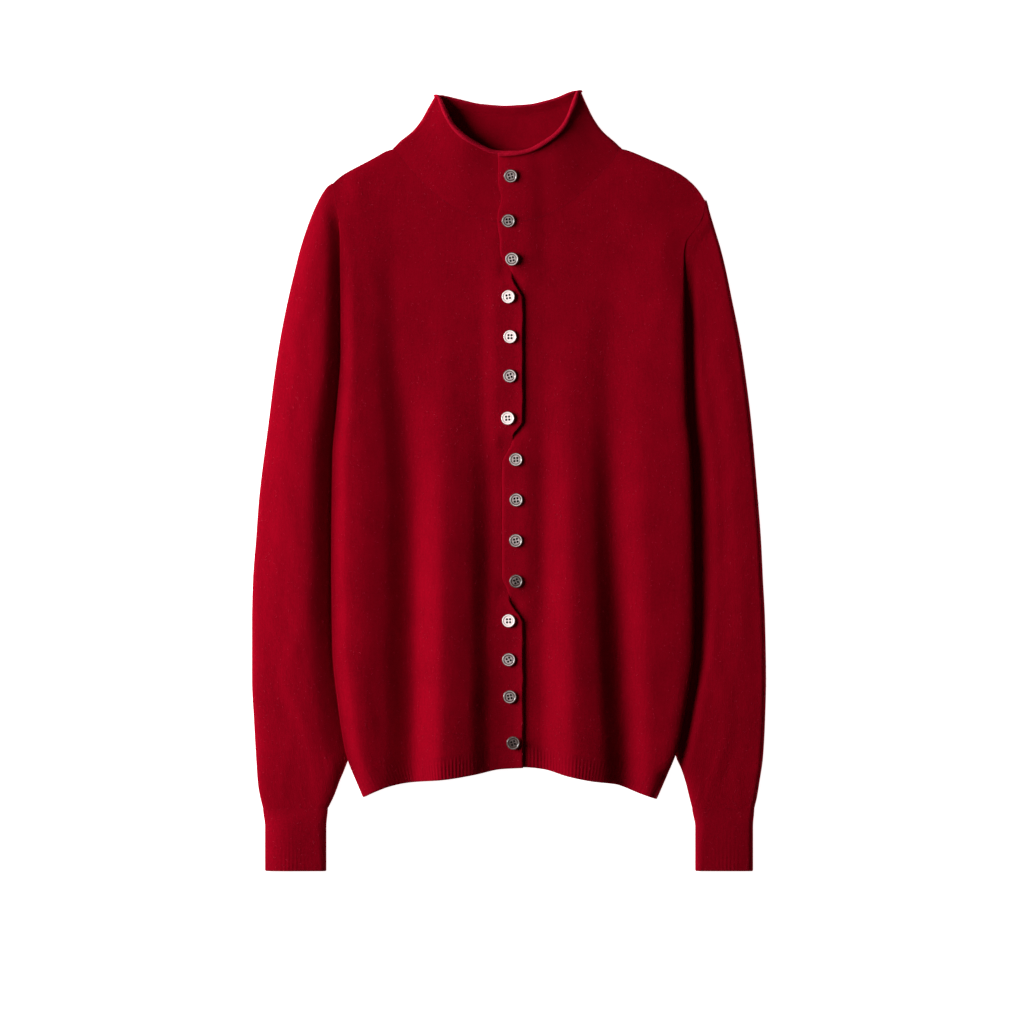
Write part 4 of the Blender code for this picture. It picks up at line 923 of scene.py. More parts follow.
def make_back_hem():
    top = back_grid()[0].copy()
    top[:, 1] -= SEAM
    last = top.copy()
    for side, end in (("right", top[0]), ("left", top[-1])):
        here = top[:, 0] * SIGN[side] >= 0
        out = np.abs(top[here, 0])
        corner_y, corner_out = SIDE_LINE[side][0]
        out = out + (corner_out - abs(end[0])) * ramp(out, HEM_SPREAD, abs(end[0]))
        foot = mix(BACK_HEM_FOOT, corner_y, (out / corner_out) ** HEM_BOW)
        last[here] = np.stack([SIGN[side] * out, foot, back_level(side, corner_out - out, foot)], axis=-1)
    mid = mix(top, last, np.array(HEM_ROWS)[:, None, None])
    down = run_down(mid)
    half = np.maximum(at_edge(down[-1:] - down) - at_seam(down), EDGE_HALF)
    outer, inner = layers(mid, half, up=False)
    met("right", outer, inner, mid, above=False, column=0)
    met("left", outer, inner, mid, above=False, column=-1)
    lies_on_floor(outer, inner)
    return shell("rib_hem_back", outer, inner, knit_map(mid[..., 0], BACK_FOOT - down))


# ---------------------------------------------------------------- collar


def moved_off(points, gap):
    """A line moved in plan, away from the garment's middle, by the gap."""
    flat = unit(np.gradient(points[:, :2], axis=0))
    off = np.stack([-flat[:, 1], flat[:, 0]], axis=1)
    off *= np.where(off[:, 1:] < 0, -1, 1)
    return np.concatenate([points[:, :2] + off * gap, points[:, 2:]], axis=1)


def side_bow(side, share, column=1):
    """How far the collar's side edge is off its straight line: in out, or for column 2 in y."""
    rows = COLLAR_SIDE[side]
    return along(rows, share, column) - mix(rows[0][column], rows[-1][column], share)


def collar_front(side, neck_row, share):
    """Middle points of the collar's front half, from the placket to the side fold."""
    base = moved_off(neck_row, SEAM)
    out = SIGN[side] * base[:, 0]
    across = (out - out[0]) / (out[-1] - out[0])
    top_out, top_y = along(COLLAR_TOP[side], across), along(COLLAR_TOP[side], across, 2)
    layer = LAYER * on_top(side, NECK_TOP) * (1 - ramp(top_out, PLACKET_FLAT[side], PLACKET_FADE[side]))
    top_level = along(COLLAR_LEVEL, across) + layer
    row_out = mix(out, top_out, share) + side_bow(side, share) * across**2
    row_y = mix(base[:, 1], top_y, share) + side_bow(side, share, 2) * across**2
    row_out = row_out + swayed(side, row_y) * (1 - across) ** 4
    row_level = mix(base[:, 2], top_level, share**COLLAR_LEAN)
    return np.stack([SIGN[side] * row_out, row_y, row_level], axis=-1)


def collar_back(foot_row, share):
    """Middle points of the collar's back, from the right side fold to the left one."""
    s = np.linspace(-1, 1, COLLAR_BACK_COLUMNS + 1)[1:-1]
    foot = resampled(foot_row, (s + 1) / 2)
    left = s > 0
    _, left_out, left_y = COLLAR_SIDE["left"][-1]
    _, right_out, right_y = COLLAR_SIDE["right"][-1]
    top_out = np.where(left, left_out, right_out)
    top_y = mix(COLLAR_BACK_TOP, np.where(left, left_y, right_y), s**2)
    bow = np.where(left, side_bow("left", share), side_bow("right", share))
    x = mix(foot[:, 0], s * top_out, share) + np.sign(s) * bow * s**2
    y = mix(foot[:, 1] + SEAM, top_y, share)
    return np.stack([x, y, 0 * x + FLOOR], axis=-1)


def side_fold(side, front_end, share):
    """Points round the collar's side fold, from its front layer down to its back layer."""
    turns = np.radians(COLLAR_FOLD_TURNS)
    x, y, level = (front_end[:, None, k] for k in range(3))
    middle, half = (level + FLOOR) / 2, (level - FLOOR) / 2
    bow = mix(COLLAR_FOLD_FOOT, np.minimum(COLLAR_FOLD, half), ramp(share, 0, COLLAR_FOLD_FROM))
    x = x + SIGN[side] * bow * np.cos(turns)
    return np.stack([x, y + 0 * x, middle + half * np.sin(turns)], axis=-1)


def rolled(mid, folds):
    """Rows that go on from a collar's top row and roll outwards, tighter at its two folded columns."""
    up = unit(mid[-1] - mid[-2])
    normals = grid_normals(mid)
    if normals[..., 2].sum() < 0:
        normals = -normals
    out = unit(normals[-1] - (normals[-1] * up).sum(1, keepdims=True) * up)
    turns = np.radians(np.linspace(0, ROLL_TURN, ROLL_ROWS + 1)[1:])[:, None, None]
    place = run(mid[-1])[:, None]
    uneven = sum(height * np.sin(place / length + shift) for length, shift, height in ROLL_WAVES)
    to_fold = np.min([np.abs(place - place[column]) for column in folds], axis=0)
    tight = mix(ROLL_AT_FOLD, 1, ramp(to_fold, *ROLL_FADE))
    radius = ROLL_RADIUS * (1 + ROLL_UNEVEN * uneven / 2) * tight
    return mid[-1] + radius * (np.sin(turns) * up + (1 - np.cos(turns)) * out)


def make_collar():
    rows = np.linspace(COLLAR_ROWS_FROM, ROLL_START, COLLAR_ROWS)
    share = np.concatenate([COLLAR_FIRST_ROWS, rows])[:, None]
    fronts = {}
    for side in SIDES:
        last = len(PLACKET_COLUMNS) + NECK_COLUMNS
        fronts[side] = collar_front(side, front_grid(side)[0][-1, :last], share)
    back = back_grid()
    side_columns = len(BACK_COLUMNS) + SHOULDER_COLUMNS - 2
    foot = back[-1, side_columns : back.shape[1] - side_columns]
    parts = [
        fronts["right"],
        side_fold("right", fronts["right"][:, -1], share),
        collar_back(foot, share),
        side_fold("left", fronts["left"][:, -1], share)[:, ::-1],
        fronts["left"][:, ::-1],
    ]
    ends = np.cumsum([part.shape[1] for part in parts])
    mid = np.concatenate(parts, axis=1)
    roll = rolled(mid, [(ends[0] + ends[1]) // 2, (ends[2] + ends[3]) // 2])
    mid = np.concatenate([mid, roll])
    share = np.concatenate([share, np.ones((len(roll), 1))])
    down = run_down(mid)
    from_right, from_left = run(mid), run(mid[:, ::-1])[:, ::-1]
    from_edge = np.minimum(from_right, from_left)
    half = np.minimum(at_edge(from_edge), np.maximum(at_edge(down[-1:] - down), EDGE_HALF))
    half = half - at_seam(down)
    lift = np.where(
        from_right < from_left,
        bead(from_right, "right", NECK_TOP + 0 * down),
        bead(from_left, "left", NECK_TOP + 0 * down),
    )
    lift = lift * (share < 1)
    outer, inner = layers(mid, np.maximum(half, EDGE_HALF), lift, square=(True, False))
    low = np.minimum(outer[..., 2], inner[..., 2]).min(axis=0)
    rise = np.maximum(-low, 0)[None] * ramp(share, ROLL_LIFT_FROM, 1.0)
    outer[..., 2] += rise
    inner[..., 2] += rise
    lies_on_floor(outer, inner)
    across = run(mid[0])[None]
    # Painted highlight on the rolled top edge.
    edge = ramp(share, ROLL_HIGHLIGHT_FROM, 1.0) + 0 * down
    return shell("knit_collar", outer, inner, knit_map(across, down + CENTRE_HEAD), edge=edge)


# ---------------------------------------------------------------- sleeves and cuffs


def armhole_out(side, y):
    """Out of the sleeve's upper end: beside the body's edge, then under it down to the armpit."""
    tuck = side_out(side, ARMPIT) - SEAM_LAP - SLEEVE_IN[side][-1][1]
    return side_out(side, y) - SEAM_LAP - tuck * (1 - joined(side, y))


def sleeve_level(side, out, y):
    """Level of the sleeve's upper layer over the plan."""
    outside = out - side_out(side, np.maximum(y, SIDE_LINE[side][0][0]))
    tucked = TUCKED_LEVEL + TUCK_LIFT[side] * (1 - ramp(outside, 0, TUCK_LIFT_OVER))
    at_body = mix(tucked, joined_level(side, y) - SEAM_DROP, joined(side, y))
    rise = along(TUCK_RISE[side], y)
    crest = along(SLEEVE_CREST[side], y) * (1 - ramp(outside, rise, rise + SLEEVE_CREST_WIDTH[side]))
    steep = rounded((outside + TUCK_UNDER) / (rise + TUCK_UNDER))
    soft = ramp(outside, TUCK_FLOOR[side] * rise, rise)
    climb = mix(steep, soft, mix(TUCK_SOFT[side], 1, joined(side, y)))
    return mix(at_body, along(SLEEVE_LEVEL, y) + crest, climb)


def loop_shares(width):
    """Shares across a flattened tube: its upper layer from the outer edge in, then the lower one back."""
    near_out, near_in = np.array(SLEEVE_NEAR_OUT) / width, 1 - np.array(SLEEVE_NEAR_IN) / width
    middle = mix(near_out[:, -1:], near_in[:, :1], np.linspace(0, 1, SLEEVE_UPPER + 1)[1:-1])
    upper = np.concatenate([near_out, middle, near_in], axis=1)
    near_in, near_out = 1 - np.array(UNDER_NEAR_IN) / width, np.array(UNDER_NEAR_OUT) / width
    middle = mix(near_in[:, -1:], near_out[:, :1], np.linspace(0, 1, SLEEVE_LOWER + 1)[1:-1])
    lower = np.concatenate([near_in, middle, near_out], axis=1)
    return upper, lower


def lower_level(from_out, from_in):
    drop = rounded(from_out / UNDER_EDGE) * rounded(from_in / UNDER_EDGE)
    return EDGE_LEVEL - (EDGE_LEVEL - FLOOR) * drop


def upper_level(side, plateau, from_out, from_in, y):
    rise = rounded(from_out / OUTER_EDGE[side]) * rounded(from_in / along(INNER_EDGE, y))
    return EDGE_LEVEL + (plateau - EDGE_LEVEL) * rise


def sleeve_grid(side):
    top = SIDE_LINE[side][-1][0]
    table = np.array(SLEEVE_ROWS)
    last = len(table) - 1
    index = np.linspace(0, last, SLEEVE_FINE * last + 1)
    ends = np.array(SLEEVE_END_ROWS)
    index = np.concatenate([ends, index[1:-1], last - ends[::-1]])
    outer_share = curve(np.arange(len(table)), table[:, 0], index)[:, None]
    inner_share = curve(np.arange(len(table)), table[:, 1], index)[:, None]
    start_y, end_y = mix(top, CUFF_SEAM, outer_share), mix(ARMPIT, CUFF_SEAM, inner_share)
    start, end = along(SLEEVE_OUT[side], start_y), along(SLEEVE_IN[side], end_y)
    start = mix(side_out(side, top), start, ramp(outer_share, 0, SHOULDER_BLEND))
    width = np.hypot(end - start, end_y - start_y)
    upper, lower = loop_shares(width)
    w = np.concatenate([upper, lower], axis=1)
    from_out, from_in = w * width, (1 - w) * width
    follow = (1 - ramp(outer_share, 0.0, ARMHOLE_FADE)) * ramp(from_out, 0.0, ARMHOLE_BLEND)
    straight = mix(side_out(side, top), SLEEVE_IN[side][-1][1], w)
    out = mix(start, end, w) + follow * (armhole_out(side, mix(top, ARMPIT, w)) - straight)
    y = mix(start_y, end_y, w)
    above = upper_level(side, sleeve_level(side, out, y), from_out, from_in, y)
    above = above + creases(SLEEVE_CREASES[side], out, y) * rounded(from_out / CREASE_FADE)
    below = lower_level(from_out, from_in)
    below = below + creases(SLEEVE_CREASES["under"], out, y) * rounded(from_out / CREASE_FADE)
    is_upper = np.arange(w.shape[1]) < upper.shape[1]
    z = np.where(is_upper, above, below)
    return np.stack([SIGN[side] * out, y, z], axis=-1)


def round_map(mid, down):
    """Knit map of a tube, closed on itself: lengths round each row and down."""
    closed = np.concatenate([mid, mid[:, :1]], axis=1)
    down = np.concatenate([down, down[:, :1]], axis=1)
    return knit_map(run(closed), -down)


def make_sleeve(side):
    mid = sleeve_grid(side)
    down = run_down(mid)
    half = WALL / 2 - at_seam(down) - at_seam(down[-1:] - down)
    outer, inner = layers(mid, half, loop=True)
    lies_on_floor(outer, inner)
    return shell("knit_sleeve_" + side, outer, inner, round_map(mid, down), loop=True)


def make_cuff(side, look):
    widest = CUFF_OUT[side][1] - CUFF_IN[side][1]
    near_out, near_in = np.array(CUFF_NEAR_OUT), np.array(SLEEVE_NEAR_IN)
    count = rib_count(widest - near_out[-1] - near_in[0], look)
    share = np.concatenate([CUFF_FIRST_ROWS, np.linspace(*CUFF_MIDDLE_ROWS), CUFF_LAST_ROWS])[:, None]
    drawn = ramp(share, 0, CUFF_WAIST)
    start, end = mix(*CUFF_OUT[side], drawn), mix(*CUFF_IN[side], drawn)
    width = start - end
    ribs = mix(near_out[-1], width - near_in[0], np.linspace(0, 1, count))
    upper = np.concatenate([near_out[:-1] + 0 * width, ribs, width - near_in[1:]], axis=1)
    under_in, under_out = width - np.array(UNDER_NEAR_IN), np.array(UNDER_NEAR_OUT) + 0 * width
    middle = mix(under_in[:, -1:], under_out[:, :1], np.linspace(0, 1, CUFF_LOWER + 1)[1:-1])
    lower = np.concatenate([under_in, middle, under_out], axis=1)
    dome = np.sin(np.pi * (upper / width) ** CUFF_DOME) * drawn
    out = start - np.concatenate([upper, lower], axis=1)
    y = mix(CUFF_SEAM - SEAM, CUFF_END, share) + 0 * out
    above = upper_level(side, CUFF_LEVEL + CUFF_LIFT[side] * dome, upper, width - upper, y[:, :1])
    z = np.concatenate([above, lower_level(lower, width - lower)], axis=1)
    mid = np.stack([SIGN[side] * out, y, z], axis=-1)
    down = run_down(mid)
    lift = np.zeros(mid.shape[1])
    worn = RIB_FAINT + np.sin(np.pi * np.linspace(0, 1, count) ** CUFF_RIB_LEAN) ** 4
    first_rib = len(near_out) - 1
    lift[first_rib : first_rib + count] = CUFF_RIB_SHARE * rib_lift(count, look) * worn
    lift = lift * rounded((down[-1:] - down) / RIB_END) * ramp(down, 0, CUFF_RIB_FADE) ** 2
    half = at_edge(down[-1:] - down) - at_seam(down)
    outer, inner = layers(mid, np.maximum(half, EDGE_HALF), lift, loop=True)
    lies_on_floor(outer, inner)
    return shell("rib_cuff_" + side, outer, inner, round_map(mid, down), loop=True)


# ---------------------------------------------------------------- buttons


BUTTON_PROFILE = (  # radius, height: from the back's middle, round the rim, to the face's middle
    (0.0, 0.3), (2.6, 0.22), (4.6, 0.06), (5.5, 0.2), (6.05, 0.5), (6.24, 0.85), (6.18, 1.15),
    (6.0, 1.45), (5.7, 1.64), (5.35, 1.7), (5.05, 1.66), (4.78, 1.52), (4.58, 1.3), (4.42, 1.14),
    (4.2, 1.08), (3.95, 1.14), (3.6, 1.24), (3.1, 1.24), (2.4, 1.18), (1.4, 1.12), (0.0, 1.1),
)
BUTTON_SEGMENTS = 56
BUTTON_SHARP = 40.0  # degrees, as for the cloth
BUTTON_HOLE = 2.15
HOLE_FROM_MIDDLE = 1.95
HOLE_SEGMENTS = 14
HOLE_CUT = 10.0  # length of the cutters, which go right through
BUTTON_TURNS = (16, 6, 12, 10, 0, 22, 4, 4, 8, 14, 26, 2, 30, 12, 18)  # degrees, from the collar down
BUTTON_TONES = (  # dark at 0, almost white at 1 and above
    0.37, 0.4, 0.45, 1.1, 1.08, 0.54, 1.1, 0.57, 0.49, 0.46, 0.2, 1.05, 0.44, 0.35, 0.13,
)
BUTTON_LIGHT_AND_SHADE_RINGS = (  # radius, tone added there: a painted highlight on the raised rim, painted shade in the groove inside it and round the rim's outer side
    (0.0, 0.0), (3.3, 0.02), (3.8, -0.12), (4.3, -0.45), (4.7, -0.2), (5.1, 0.22), (5.5, 0.12),
    (5.75, -0.45), (5.95, -1.1), (6.3, -1.4),
)


def button_holes():
    """Middles of a button's four holes."""
    turns = [math.pi / 4 + k * math.pi / 2 for k in range(4)]
    return [Vector((math.cos(a), math.sin(a), 0)) * (HOLE_FROM_MIDDLE * MM) for a in turns]


def button_mesh():
    """Turned disc with a raised rim, a groove inside it, a dished face and four holes."""
    work = bmesh.new()
    turns = [2 * math.pi * k / BUTTON_SEGMENTS for k in range(BUTTON_SEGMENTS)]
    rings = []
    for r, z in BUTTON_PROFILE:
        places = [(r * math.cos(a), r * math.sin(a), z) for a in (turns if r else turns[:1])]
        rings.append([work.verts.new(Vector(place) * MM) for place in places])
    for low, high in zip(rings, rings[1:]):
        for k in range(BUTTON_SEGMENTS):
            n = (k + 1) % BUTTON_SEGMENTS
            corners = [low[k % len(low)], low[n % len(low)], high[n % len(high)], high[k % len(high)]]
            work.faces.new(list(dict.fromkeys(corners)))
    disc = placed("button_disc", work)
    work = bmesh.new()
    radius = BUTTON_HOLE / 2 * MM
    for place in button_holes():
        bmesh.ops.create_cone(
            work, cap_ends=True, segments=HOLE_SEGMENTS, radius1=radius, radius2=radius,
            depth=HOLE_CUT * MM, matrix=Matrix.Translation(place),
        )
    cutter = placed("button_holes", work)
    cut = disc.modifiers.new("holes", "BOOLEAN")
    cut.operation = "DIFFERENCE"
    cut.object = cutter
    mesh = as_mesh(disc)
    bpy.data.objects.remove(disc)
    bpy.data.objects.remove(cutter)
    return mesh


def button_place(node, turn):
    """Matrix of a button: z along its axis, and the origin under the middle of its back."""
    points = np.array([v.co for v in frame["nodes"][node].data.vertices], float)
    points = np.unique(points.round(7), axis=0)
    centre = points.mean(axis=0)
    axis = np.linalg.svd(points - centre)[2][2]
    axis = Vector(axis if axis[2] > 0 else -axis)
    base = min(axis.dot(Vector(p)) for p in points)
    origin = Vector(centre) + axis * (base - axis.dot(Vector(centre)))
    across = (Vector((1, 0, 0)) - axis * axis.x).normalized()
    upright = Matrix((across, axis.cross(across), axis)).transposed()
    spin = upright @ Matrix.Rotation(math.radians(turn), 3, "Z")
    return Matrix.Translation(origin) @ spin.to_4x4()


# ---------------------------------------------------------------- materials


class Value:
    """A shader socket that takes part in Python expressions."""

    def __init__(self, paint, socket):
        self.paint, self.socket = paint, socket

    def _maths(self, operation, first, second=None):
        inputs = {0: first} if second is None else {0: first, 1: second}
        return self.paint.node("Math", {"operation": operation}, inputs)

    def __add__(self, other):
        return self._maths("ADD", self, other)

    def __radd__(self, other):
        return self._maths("ADD", other, self)

    def __sub__(self, other):
        return self._maths("SUBTRACT", self, other)

    def __rsub__(self, other):
        return self._maths("SUBTRACT", other, self)

    def __mul__(self, other):
        return self._maths("MULTIPLY", self, other)

    def __rmul__(self, other):
        return self._maths("MULTIPLY", other, self)

    def __truediv__(self, other):
        return self._maths("DIVIDE", self, other)

    def __abs__(self):
        return self._maths("ABSOLUTE", self)

    def fraction(self):
        return self._maths("FRACT", self)

    def cosine(self):
        return self._maths("COSINE", self)

    def at_least(self, other):
        return self._maths("MAXIMUM", self, other)


class Paint:
    """A material and its nodes."""

    def __init__(self, name):
        self.material = bpy.data.materials.new(name)
        self.material.use_nodes = True
        self.tree = self.material.node_tree
        self.shader = self.tree.nodes["Principled BSDF"]

    def node(self, kind, settings=None, inputs=None, output=0):
        """Any node: its settings first, then the values or links of its sockets."""
        made = self.tree.nodes.new("ShaderNode" + kind)
        for key, value in (settings or {}).items():
            setattr(made, key, value)
        for key, value in (inputs or {}).items():
            self.feed(made.inputs[key], value)
        return Value(self, made.outputs[output])

    def feed(self, socket, value):
        if isinstance(value, Value):
            self.tree.links.new(value.socket, socket)
        else:
            socket.default_value = value

    def set(self, **values):
        """Sockets of the shader, by name with _ for a space."""
        for name, value in values.items():
            self.feed(self.shader.inputs[name.replace("_", " ")], value)

    def blend(self, share, first, second):
        """Colour between two colours."""
        settings = {"data_type": "RGBA"}
        return self.node("Mix", settings, {0: share, 6: first, 7: second}, output=2)

    def parts(self, vector):
        return [self.node("SeparateXYZ", None, {0: vector}, output=k) for k in range(3)]

    def noise(self, vector, scale, detail=2.0, roughness=0.5):
        """Noise of so many waves a metre."""
        inputs = {"Vector": vector, "Scale": scale, "Detail": detail, "Roughness": roughness}
        return self.node("TexNoise", None, inputs)

    def scaled(self, vector, scale):
        return self.node("VectorMath", {"operation": "MULTIPLY"}, {0: vector, 1: scale})

    def range(self, value, low, high, to_low=0.0, to_high=1.0):
        """The value's place between low and high, on a soft S."""
        inputs = {0: value, 1: low, 2: high, 3: to_low, 4: to_high}
        return self.node("MapRange", {"clamp": True, "interpolation_type": "SMOOTHSTEP"}, inputs)


def colour(rgb, share=1.0):
    return (rgb[0] * share, rgb[1] * share, rgb[2] * share, 1.0)


WALE_WANDER = 0.35  # how far a wale strays, in wales
COURSE_WANDER = 0.5  # and a course, in courses
LEG_SLANT = 1.6  # slope of a stitch's two legs, in courses a wale
STITCH_FLOOR = 0.3  # how much of a stitch still shows between two courses
# The stitch share darkens the knit where its stitches are low: painted shade between the stitches.
TONE_SHARES = {"streak": 0.2, "cloud": 0.25, "grain": 0.37, "stitch": 0.2}
TONE_RANGE = (0.18, 0.78)
KNIT_SHADES = (0.68, 1.32)  # of the yarn's colour, in its dark and its light places
FLECK_RANGE = (0.66, 0.8)
# noise that makes the painted highlight on the edges uneven
UNEVEN_HIGHLIGHT_RANGE = (0.35, 0.7)
FUZZ_HEIGHT = 0.5  # of a stitch's height
STITCH_HEIGHT = 0.0006


def knit_material(name, look, base, stitch_share=1.0):
    """Stocking stitch on the knit map: wales of slanting legs, uneven yarn, painted shade between the
    stitches, a painted highlight on the edges, and a dry soft surface.
    """
    paint = Paint(name)
    place = paint.node("UVMap", {"uv_map": "knit"})
    u, v, _ = paint.parts(place)
    wander = paint.noise(place, 220.0, 1.0)
    wale = u / look.wale + wander * WALE_WANDER
    half = abs(wale.fraction() - 0.5)
    leg = 1 - abs(half - 0.25) * 4
    course = v / look.course + half * LEG_SLANT + wander * COURSE_WANDER
    turn = (course * (2 * math.pi)).cosine() * 0.5 + 0.5
    stitch = leg * (turn * (1 - STITCH_FLOOR) + STITCH_FLOOR)
    streak = paint.noise(paint.scaled(place, (420.0, 60.0, 1.0)), 1.0, 2.0)
    cloud = paint.noise(place, 26.0, 3.0)
    fleck = paint.noise(paint.scaled(place, (1500.0, 700.0, 1.0)), 1.0, 1.0)
    fleck = paint.range(fleck, *FLECK_RANGE)
    grain = paint.noise(paint.scaled(place, (1.0, 0.7, 1.0)), 640.0, 2.0, 0.6)
    tone = streak * TONE_SHARES["streak"] + cloud * TONE_SHARES["cloud"] + grain * TONE_SHARES["grain"]
    # Painted shade between the stitches, following their relief.
    tone = tone + stitch * TONE_SHARES["stitch"] * stitch_share
    tone = paint.range(tone, *TONE_RANGE)
    dark, light = KNIT_SHADES
    deep = paint.blend(tone, colour(base, dark), colour(base, light))
    # The edge attribute paints an uneven highlight on rolled and placket edges in the fibre's colour; the
    # flecks are the yarn's own.
    edge = paint.node("Attribute", {"attribute_name": "edge"}, None, output=2)
    uneven_highlight = paint.range(paint.noise(place, 620.0, 3.0, 0.7), *UNEVEN_HIGHLIGHT_RANGE, to_low=0.25)
    pale = paint.blend((fleck * look.fleck).at_least(edge * uneven_highlight * look.edge), deep, colour(look.fibre))
    paint.set(Base_Color=pale, Roughness=0.95, Sheen_Weight=look.sheen, Sheen_Roughness=0.55)
    paint.set(Sheen_Tint=colour(look.fibre), Specular_IOR_Level=0.01)
    fuzz = paint.noise(place, 1600.0, 2.0, 0.7)
    height = stitch * stitch_share + fuzz * FUZZ_HEIGHT
    bump = {"Strength": look.relief, "Distance": STITCH_HEIGHT, "Height": height}
    paint.set(Normal=paint.node("Bump", None, bump))
    return paint.material


SWIRL_SHARE = 0.5  # how much the clouds change the shell's tone
BAND_SHARE = 0.25  # and the bands


def shell_material(look):
    """Glossy grey shell: clouded, banded and turned from one blank to the next by the tone, and given a
    painted glow by its emission.
    """
    paint = Paint("grey_shell")
    place = paint.node("TexCoord", None, None, output=3)
    # The tone holds each button's own tone and the painted light and shade of its rings.
    tone = paint.node("Attribute", {"attribute_name": "tone"}, None, output=2)
    swirl = paint.noise(paint.scaled(place, (1.0, 1.6, 1.0)), 190.0, 3.0, 0.6)
    band = paint.noise(paint.scaled(place, (1.0, 3.4, 1.0)), 520.0, 1.0)
    share = paint.range(tone + (swirl - 0.5) * SWIRL_SHARE + (band - 0.5) * BAND_SHARE, 0.0, 1.0)
    base = paint.blend(share, colour(look.dark), colour(look.pale))
    paint.set(Base_Color=base, Roughness=0.24, Specular_IOR_Level=0.6)
    paint.set(Coat_Roughness=0.08, Coat_Weight=0.5)
    # Painted glow: the emission brightens the shell as if more light fell on it.
    paint.set(Emission_Color=base, Emission_Strength=look.painted_glow)
    return paint.material


def thread_material(look):
    # A sewing thread whose near-black colour is painted shade that makes the holes dark.
    paint = Paint("thread_painted_as_hole_shade")
    place = paint.node("TexCoord", None, None, output=3)
    twist = paint.noise(place, 2600.0, 1.0)
    base = paint.blend(twist, colour(look.hole_shade_thread, 0.6), colour(look.hole_shade_thread, 1.3))
    paint.set(Base_Color=base, Roughness=0.8, Specular_IOR_Level=0.1)
    return paint.material


def floor_material(look):
    paint = Paint("pale_paper")
    place = paint.node("TexCoord", None, None, output=3)
    grain = paint.noise(place, 900.0, 2.0)
    base = paint.blend(grain, colour(look.floor, 0.985), colour(look.floor))
    paint.set(Base_Color=base, Roughness=0.9, Specular_IOR_Level=0.0)
    paint.set(Emission_Color=colour((1, 1, 1)), Emission_Strength=look.glow)
    return paint.material


def fibre_material(name, deep, pale):
    paint = Paint(name)
    place = paint.node("TexCoord", None, None, output=3)
    shade = paint.noise(place, 60.0, 2.0)
    base = paint.blend(shade, deep, pale)
    paint.set(Base_Color=base, Roughness=0.9, Specular_IOR_Level=0.02)
    return paint.material


# ---------------------------------------------------------------- what repeats


class Growth:
    """A Geometry Nodes tree whose sizes are named inputs, and the mesh that it makes."""

    def __init__(self, name, sizes):
        self.tree = bpy.data.node_groups.new(name, "GeometryNodeTree")
        sockets = self.tree.interface
        sockets.new_socket("Geometry", in_out="INPUT", socket_type="NodeSocketGeometry")
        sockets.new_socket("Geometry", in_out="OUTPUT", socket_type="NodeSocketGeometry")
        self.values = {}
        for label, value in sizes.items():
            kind = "NodeSocketInt" if isinstance(value, int) else "NodeSocketFloat"
            made = sockets.new_socket(label, in_out="INPUT", socket_type=kind)
            self.values[made.identifier] = value
        self.entry = self.tree.nodes.new("NodeGroupInput")

    def size(self, label):
        return self.entry.outputs[label]

    def node(self, kind, settings=None, inputs=None, output=0):
        """Any node: its settings first, then the values or links of its sockets."""
        made = self.tree.nodes.new(kind)
        for key, value in (settings or {}).items():
            setattr(made, key, value)
        for key, value in (inputs or {}).items():
            if isinstance(value, bpy.types.NodeSocket):
                self.tree.links.new(value, made.inputs[key])
            else:
                made.inputs[key].default_value = value
        return made.outputs[output]

    def maths(self, operation, first, second):
        return self.node("ShaderNodeMath", {"operation": operation}, {0: first, 1: second})

    def yarn(self, start, middle, end, width, sides, steps, caps=False):
        """A bent piece of yarn of unit size."""
        bend = {"Resolution": steps, "Start": start, "Middle": middle, "End": end}
        line = self.node("GeometryNodeCurveQuadraticBezier", None, bend)
        ring = {"Resolution": sides, "Radius": self.maths("MULTIPLY", width, 0.5)}
        ring = self.node("GeometryNodeCurvePrimitiveCircle", None, ring)
        tube = {"Curve": line, "Profile Curve": ring, "Fill Caps": caps}
        return self.node("GeometryNodeCurveToMesh", None, tube)

    def made(self, name, base, placed_on, material):
        """Ends the tree, runs it on the base mesh and gives the result as a plain piece."""
        real = self.node("GeometryNodeRealizeInstances", None, {0: placed_on})
        dressed = self.node("GeometryNodeSetMaterial", None, {"Geometry": real, "Material": material})
        leave = self.tree.nodes.new("NodeGroupOutput")
        self.tree.links.new(dressed, leave.inputs[0])
        grower = added(name + "_base", base)
        grow = grower.modifiers.new("growth", "NODES")
        grow.node_group = self.tree
        for identifier, value in self.values.items():
            grow[identifier] = value
        mesh = as_mesh(grower)
        grower.modifiers.remove(grow)
        bpy.data.objects.remove(grower)
        if not mesh.polygons:
            raise RuntimeError("nothing grew for " + name)
        mesh.name = name
        mesh.shade_smooth()
        piece = added(name, mesh)
        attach(piece, "root")
        return piece


FUZZ_FACING = 0.12  # fibres grow where the cloth's normal is turned up at least as much as this
FUZZ_SEED = 7
FIBRE_BEND = ((-0.5, 0.0, 0.0), (0.05, 0.35, 0.34), (0.5, -0.1, 0.12))
FIBRE_TILT = 0.4
FIBRE_SCALE = (0.55, 1.5)


def outside_of(pieces):
    """Base mesh of the cloth's outer faces that look up or sideways."""
    points, faces, count = [], [], 0
    for piece in pieces:
        mesh = piece.data
        place = np.empty(len(mesh.vertices) * 3)
        mesh.vertices.foreach_get("co", place)
        corners = np.empty(len(mesh.loops), int)
        mesh.loops.foreach_get("vertex_index", corners)
        normal = np.empty(len(mesh.polygons) * 3)
        mesh.polygons.foreach_get("normal", normal)
        corners = corners.reshape(-1, 4)
        outer = (corners < len(mesh.vertices) // 2).all(axis=1)
        up = normal.reshape(-1, 3)[:, 2] > FUZZ_FACING
        faces.append(corners[outer & up] + count)
        points.append(place.reshape(-1, 3))
        count += len(mesh.vertices)
    base = bpy.data.meshes.new("fuzz_base")
    base.from_pydata(np.concatenate(points).tolist(), [], np.concatenate(faces).tolist())
    return base


